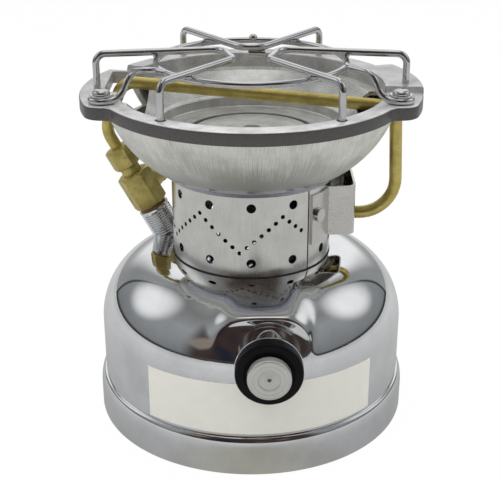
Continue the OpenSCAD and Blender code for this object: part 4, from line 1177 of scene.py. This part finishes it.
# %% [markdown]
# ## Small dark lines
# Where a foot of the grate stands in its hole and where the collar stands on the tank, a thin dark line
# of painted shadow stands in for the shade in the gap. Each is a very thin turned ring.

# %% Dark lines
COLLAR_LINE = (38.45, 38.7, TANK_TOP + 0.02, TANK_TOP + 0.5)
FOOT_LINE = (FINGER_WIRE + 0.01, 2.4, RIM_TOP, RIM_TOP + 0.05)
# Painted shadow: a near-black finish for the thin rings in the gaps.
painted_gap_shadow = grained("painted_gap_shadow", (0.02, 0.02, 0.02), (0.035, 0.03, 0.028), 0.7, 1500, 0.2)


def thin_ring(inside, outside, low, high):
    return turned("line", [(inside, low), (outside, low), (outside, high), (inside, high)], 64)


lines = [thin_ring(*COLLAR_LINE)]
for foot in feet[2:4]:
    lines.append(stand(thin_ring(*FOOT_LINE), foot * MM, UP))
settle(join("dark_lines", lines), painted_gap_shadow)

# %% [markdown]
# ## Plate on the tank
# A thin satin plate is stuck to the front of the tank's wall. A grid is wrapped round the wall, point by
# point, and given its thickness.

# %% Plate
PLATE_FROM, PLATE_TO = -39.5, 48
PLATE_LOW, PLATE_TOP = 20.6, 46.8
PLATE_R = TANK_R + 0.02
PLATE_THICK = 0.12

fresh()
bpy.ops.mesh.primitive_grid_add(x_subdivisions=64, y_subdivisions=8, size=2)
plate = bpy.context.object
plate.name = "front_plate"
for vertex in plate.data.vertices:
    across = (vertex.co.x + 1) / 2
    upwards = (vertex.co.y + 1) / 2
    height = PLATE_LOW + (PLATE_TOP - PLATE_LOW) * upwards
    vertex.co = polar(PLATE_R, 270 + PLATE_FROM + (PLATE_TO - PLATE_FROM) * across, height) * MM
shaped(plate, "SOLIDIFY", thickness=PLATE_THICK * MM, offset=1)
plate_paint = grained("plate_paint", (0.62, 0.61, 0.56), (0.60, 0.59, 0.54), 0.45, 1500, 0.05)
settle(plate, plate_paint)

# %% [markdown]
# ## Stage
# The stove stands on white paper. The camera sees plain white, while the metal sees paper that is grey near
# the stove and lighter further out, which is painted shadow, with a painted shadow strip along the middle.
# Light Path nodes tell the two kinds of ray apart.

# %% Paper
# Paper tones by distance from the stove. The dark near end is painted shadow.
PAPER_TONES_WITH_SHADOW = [(0.0, 0.14), (0.08, 0.40), (0.11, 0.50), (0.2, 0.60), (0.45, 0.66), (1.0, 0.58)]
PAPER_SIZE = 6
STRIP_SHADOW_TONE = (0.40, 0.39, 0.34, 1)
PAPER_WHITE = (0.86, 0.86, 0.86, 1)
WHITE = (1, 1, 1, 1)
WHITE_SHARE = 0.97

fresh()
bpy.ops.mesh.primitive_plane_add(size=PAPER_SIZE)
floor = bpy.context.object
floor.name = "floor"
paper = bpy.data.materials.new("paper")
paper.use_nodes = True
sheet = Graph(paper.node_tree)
sheet.tree.nodes.remove(sheet.tree.nodes["Principled BSDF"])
x, y = sheet.parts(sheet.add("ShaderNodeTexCoord").outputs["Object"])[:2]
aside = sheet.math("ABSOLUTE", x)
# Painted shadow seen only by the metal: a darker strip in front of the stove, and darker paper close to it.
shadow_strip = sheet.product(sheet.fall(aside, 0.0, 0.06), sheet.rise(y, -0.16, -0.1))
paper_tone = sheet.blend(shadow_strip, sheet.steps(sheet.distance(x, y), PAPER_TONES_WITH_SHADOW), STRIP_SHADOW_TONE)
rays = sheet.add("ShaderNodeLightPath").outputs
matt = sheet.add("ShaderNodeBsdfDiffuse", Color=PAPER_WHITE).outputs[0]
mirrored_paper = sheet.add("ShaderNodeEmission", Color=paper_tone, Strength=1.0).outputs[0]
plain_white = sheet.add("ShaderNodeEmission", Color=WHITE, Strength=1.0).outputs[0]
seen = sheet.math("MAXIMUM", rays["Is Camera Ray"], rays["Is Transmission Ray"])
lit = sheet.either(rays["Is Glossy Ray"], matt, mirrored_paper)
surface = sheet.either(sheet.math("MULTIPLY", seen, WHITE_SHARE), lit, plain_white)
sheet.feed(sheet.tree.nodes["Material Output"].inputs["Surface"], surface)
floor.data.materials.append(paper)
print("paper laid,", len(sheet.tree.nodes), "nodes")

# %% [markdown]
# Chrome is only as good as what it mirrors, so the world holds a simple room: a dark line at the horizon,
# dull walls, two dark corners with a bright rear wall between them, and a bright ceiling. A room of planes
# would do too, but a painted world casts no shadow. Here z is the height of a direction, and ahead says how
# far it points to the front.

# %% Walls of the room
WALL_TONES = [
    (0.0, 0.04), (0.02, 0.06), (0.05, (0.21, 0.22, 0.225)), (0.3, (0.27, 0.285, 0.29)),
    (0.6, (0.33, 0.345, 0.35)), (0.85, 0.21), (0.93, 0.26), (0.97, 0.80), (1.0, 0.95),
]
REAR_TONES = [(0.0, 0.36), (0.12, 0.50), (0.24, 0.95), (1.0, 1.0)]
REAR_DULL = (0.30, 0.31, 0.315, 1)
CORNER_AHEAD = 0.69
CORNER_TONE = (0.03, 0.03, 0.03, 1)

world = bpy.data.worlds.new("room")
bpy.context.scene.world = world
world.use_nodes = True
room = Graph(world.node_tree)
look = room.add("ShaderNodeTexCoord").outputs["Generated"]
x, y, z = room.parts(look)
level = room.math("MAXIMUM", room.distance(x, y), TINY)
ahead = room.math("DIVIDE", room.math("MULTIPLY", y, -1.0), level)
straight_back = room.fall(ahead, -0.96, -0.80)
rear_wall = room.blend(straight_back, REAR_DULL, room.steps(z, REAR_TONES))
walls = room.blend(room.fall(ahead, -0.72, -0.68), room.steps(z, WALL_TONES), rear_wall)
from_corner = room.math("ABSOLUTE", room.math("ADD", ahead, CORNER_AHEAD))
corner = room.product(room.fall(from_corner, 0.0, 0.025), room.span(z, 0.6, 0.8, 1.0, 0.0))
walls = room.blend(corner, walls, CORNER_TONE)
print("walls painted,", len(room.tree.nodes), "nodes")

# %% [markdown]
# A dark blotched patch in front with a bright bar over it gives the tank its contrast, and two soft windows
# give it highlights. Only glossy rays see the room. All others see plain white.

# %% Dark patch, bar and windows
PATCH_TONES = [
    (0.30, (0.016, 0.018, 0.03)), (0.46, (0.045, 0.03, 0.026)), (0.60, (0.06, 0.045, 0.04)),
    (0.72, (0.25, 0.21, 0.18)),
]
PATCH_SCALE = 2.2
WINDOWS = ((-0.77, 0.24, 0.59), (0.77, 0.24, 0.59))
WINDOW_SHARE = 0.92
WORLD_STRENGTH = 0.8

patch = room.product(room.rise(ahead, 0.58, 0.78), room.rise(z, -0.02, 0.06), room.fall(z, 0.92, 0.945))
mirrored = room.blend(patch, walls, room.steps(room.noise(look, PATCH_SCALE, 1), PATCH_TONES))
bar = room.product(room.rise(z, 0.935, 0.95), room.fall(z, 0.96, 0.975), room.rise(ahead, 0.8, 0.95))
mirrored = room.blend(bar, mirrored, WHITE)
for direction in WINDOWS:
    towards = room.vector("DOT_PRODUCT", look, Vector(direction).normalized())
    glow = room.math("MULTIPLY", room.rise(towards, 0.91, 0.995), WINDOW_SHARE)
    mirrored = room.blend(glow, mirrored, WHITE)
rays = room.add("ShaderNodeLightPath").outputs
light = room.tree.nodes["Background"]
light.inputs["Color"].default_value = WHITE
light.inputs["Strength"].default_value = WORLD_STRENGTH
mirrored_light = room.add("ShaderNodeBackground", Color=mirrored).outputs[0]
backdrop = room.add("ShaderNodeBackground", Color=WHITE).outputs[0]
around = room.either(rays["Is Glossy Ray"], light.outputs[0], mirrored_light)
around = room.either(rays["Is Camera Ray"], around, backdrop)
room.feed(room.tree.nodes["World Output"].inputs["Surface"], around)
print("room painted,", len(room.tree.nodes), "nodes")

# %% [markdown]
# Two soft lamps add a little form to the matt pieces. The chrome doesn't see them, because the room
# already holds its windows.

# %% Lamps
LAMP_AIM = Vector((0, 0, 0.1))


def soft_lamp(name, place, size, power):
    fresh()
    bpy.ops.object.light_add(type="AREA", location=place)
    lamp = bpy.context.object
    lamp.name = name
    lamp.data.size = size
    lamp.data.energy = power
    lamp.visible_glossy = False
    lamp.rotation_euler = (LAMP_AIM - Vector(place)).to_track_quat("-Z", "Y").to_euler()
    print("lamp", name, power, "W")


soft_lamp("top_left", (-0.5, -0.2, 0.9), 0.5, 5)
soft_lamp("top_right", (0.55, 0.1, 0.8), 0.45, 4)

bpy.context.scene.view_settings.view_transform = "Standard"
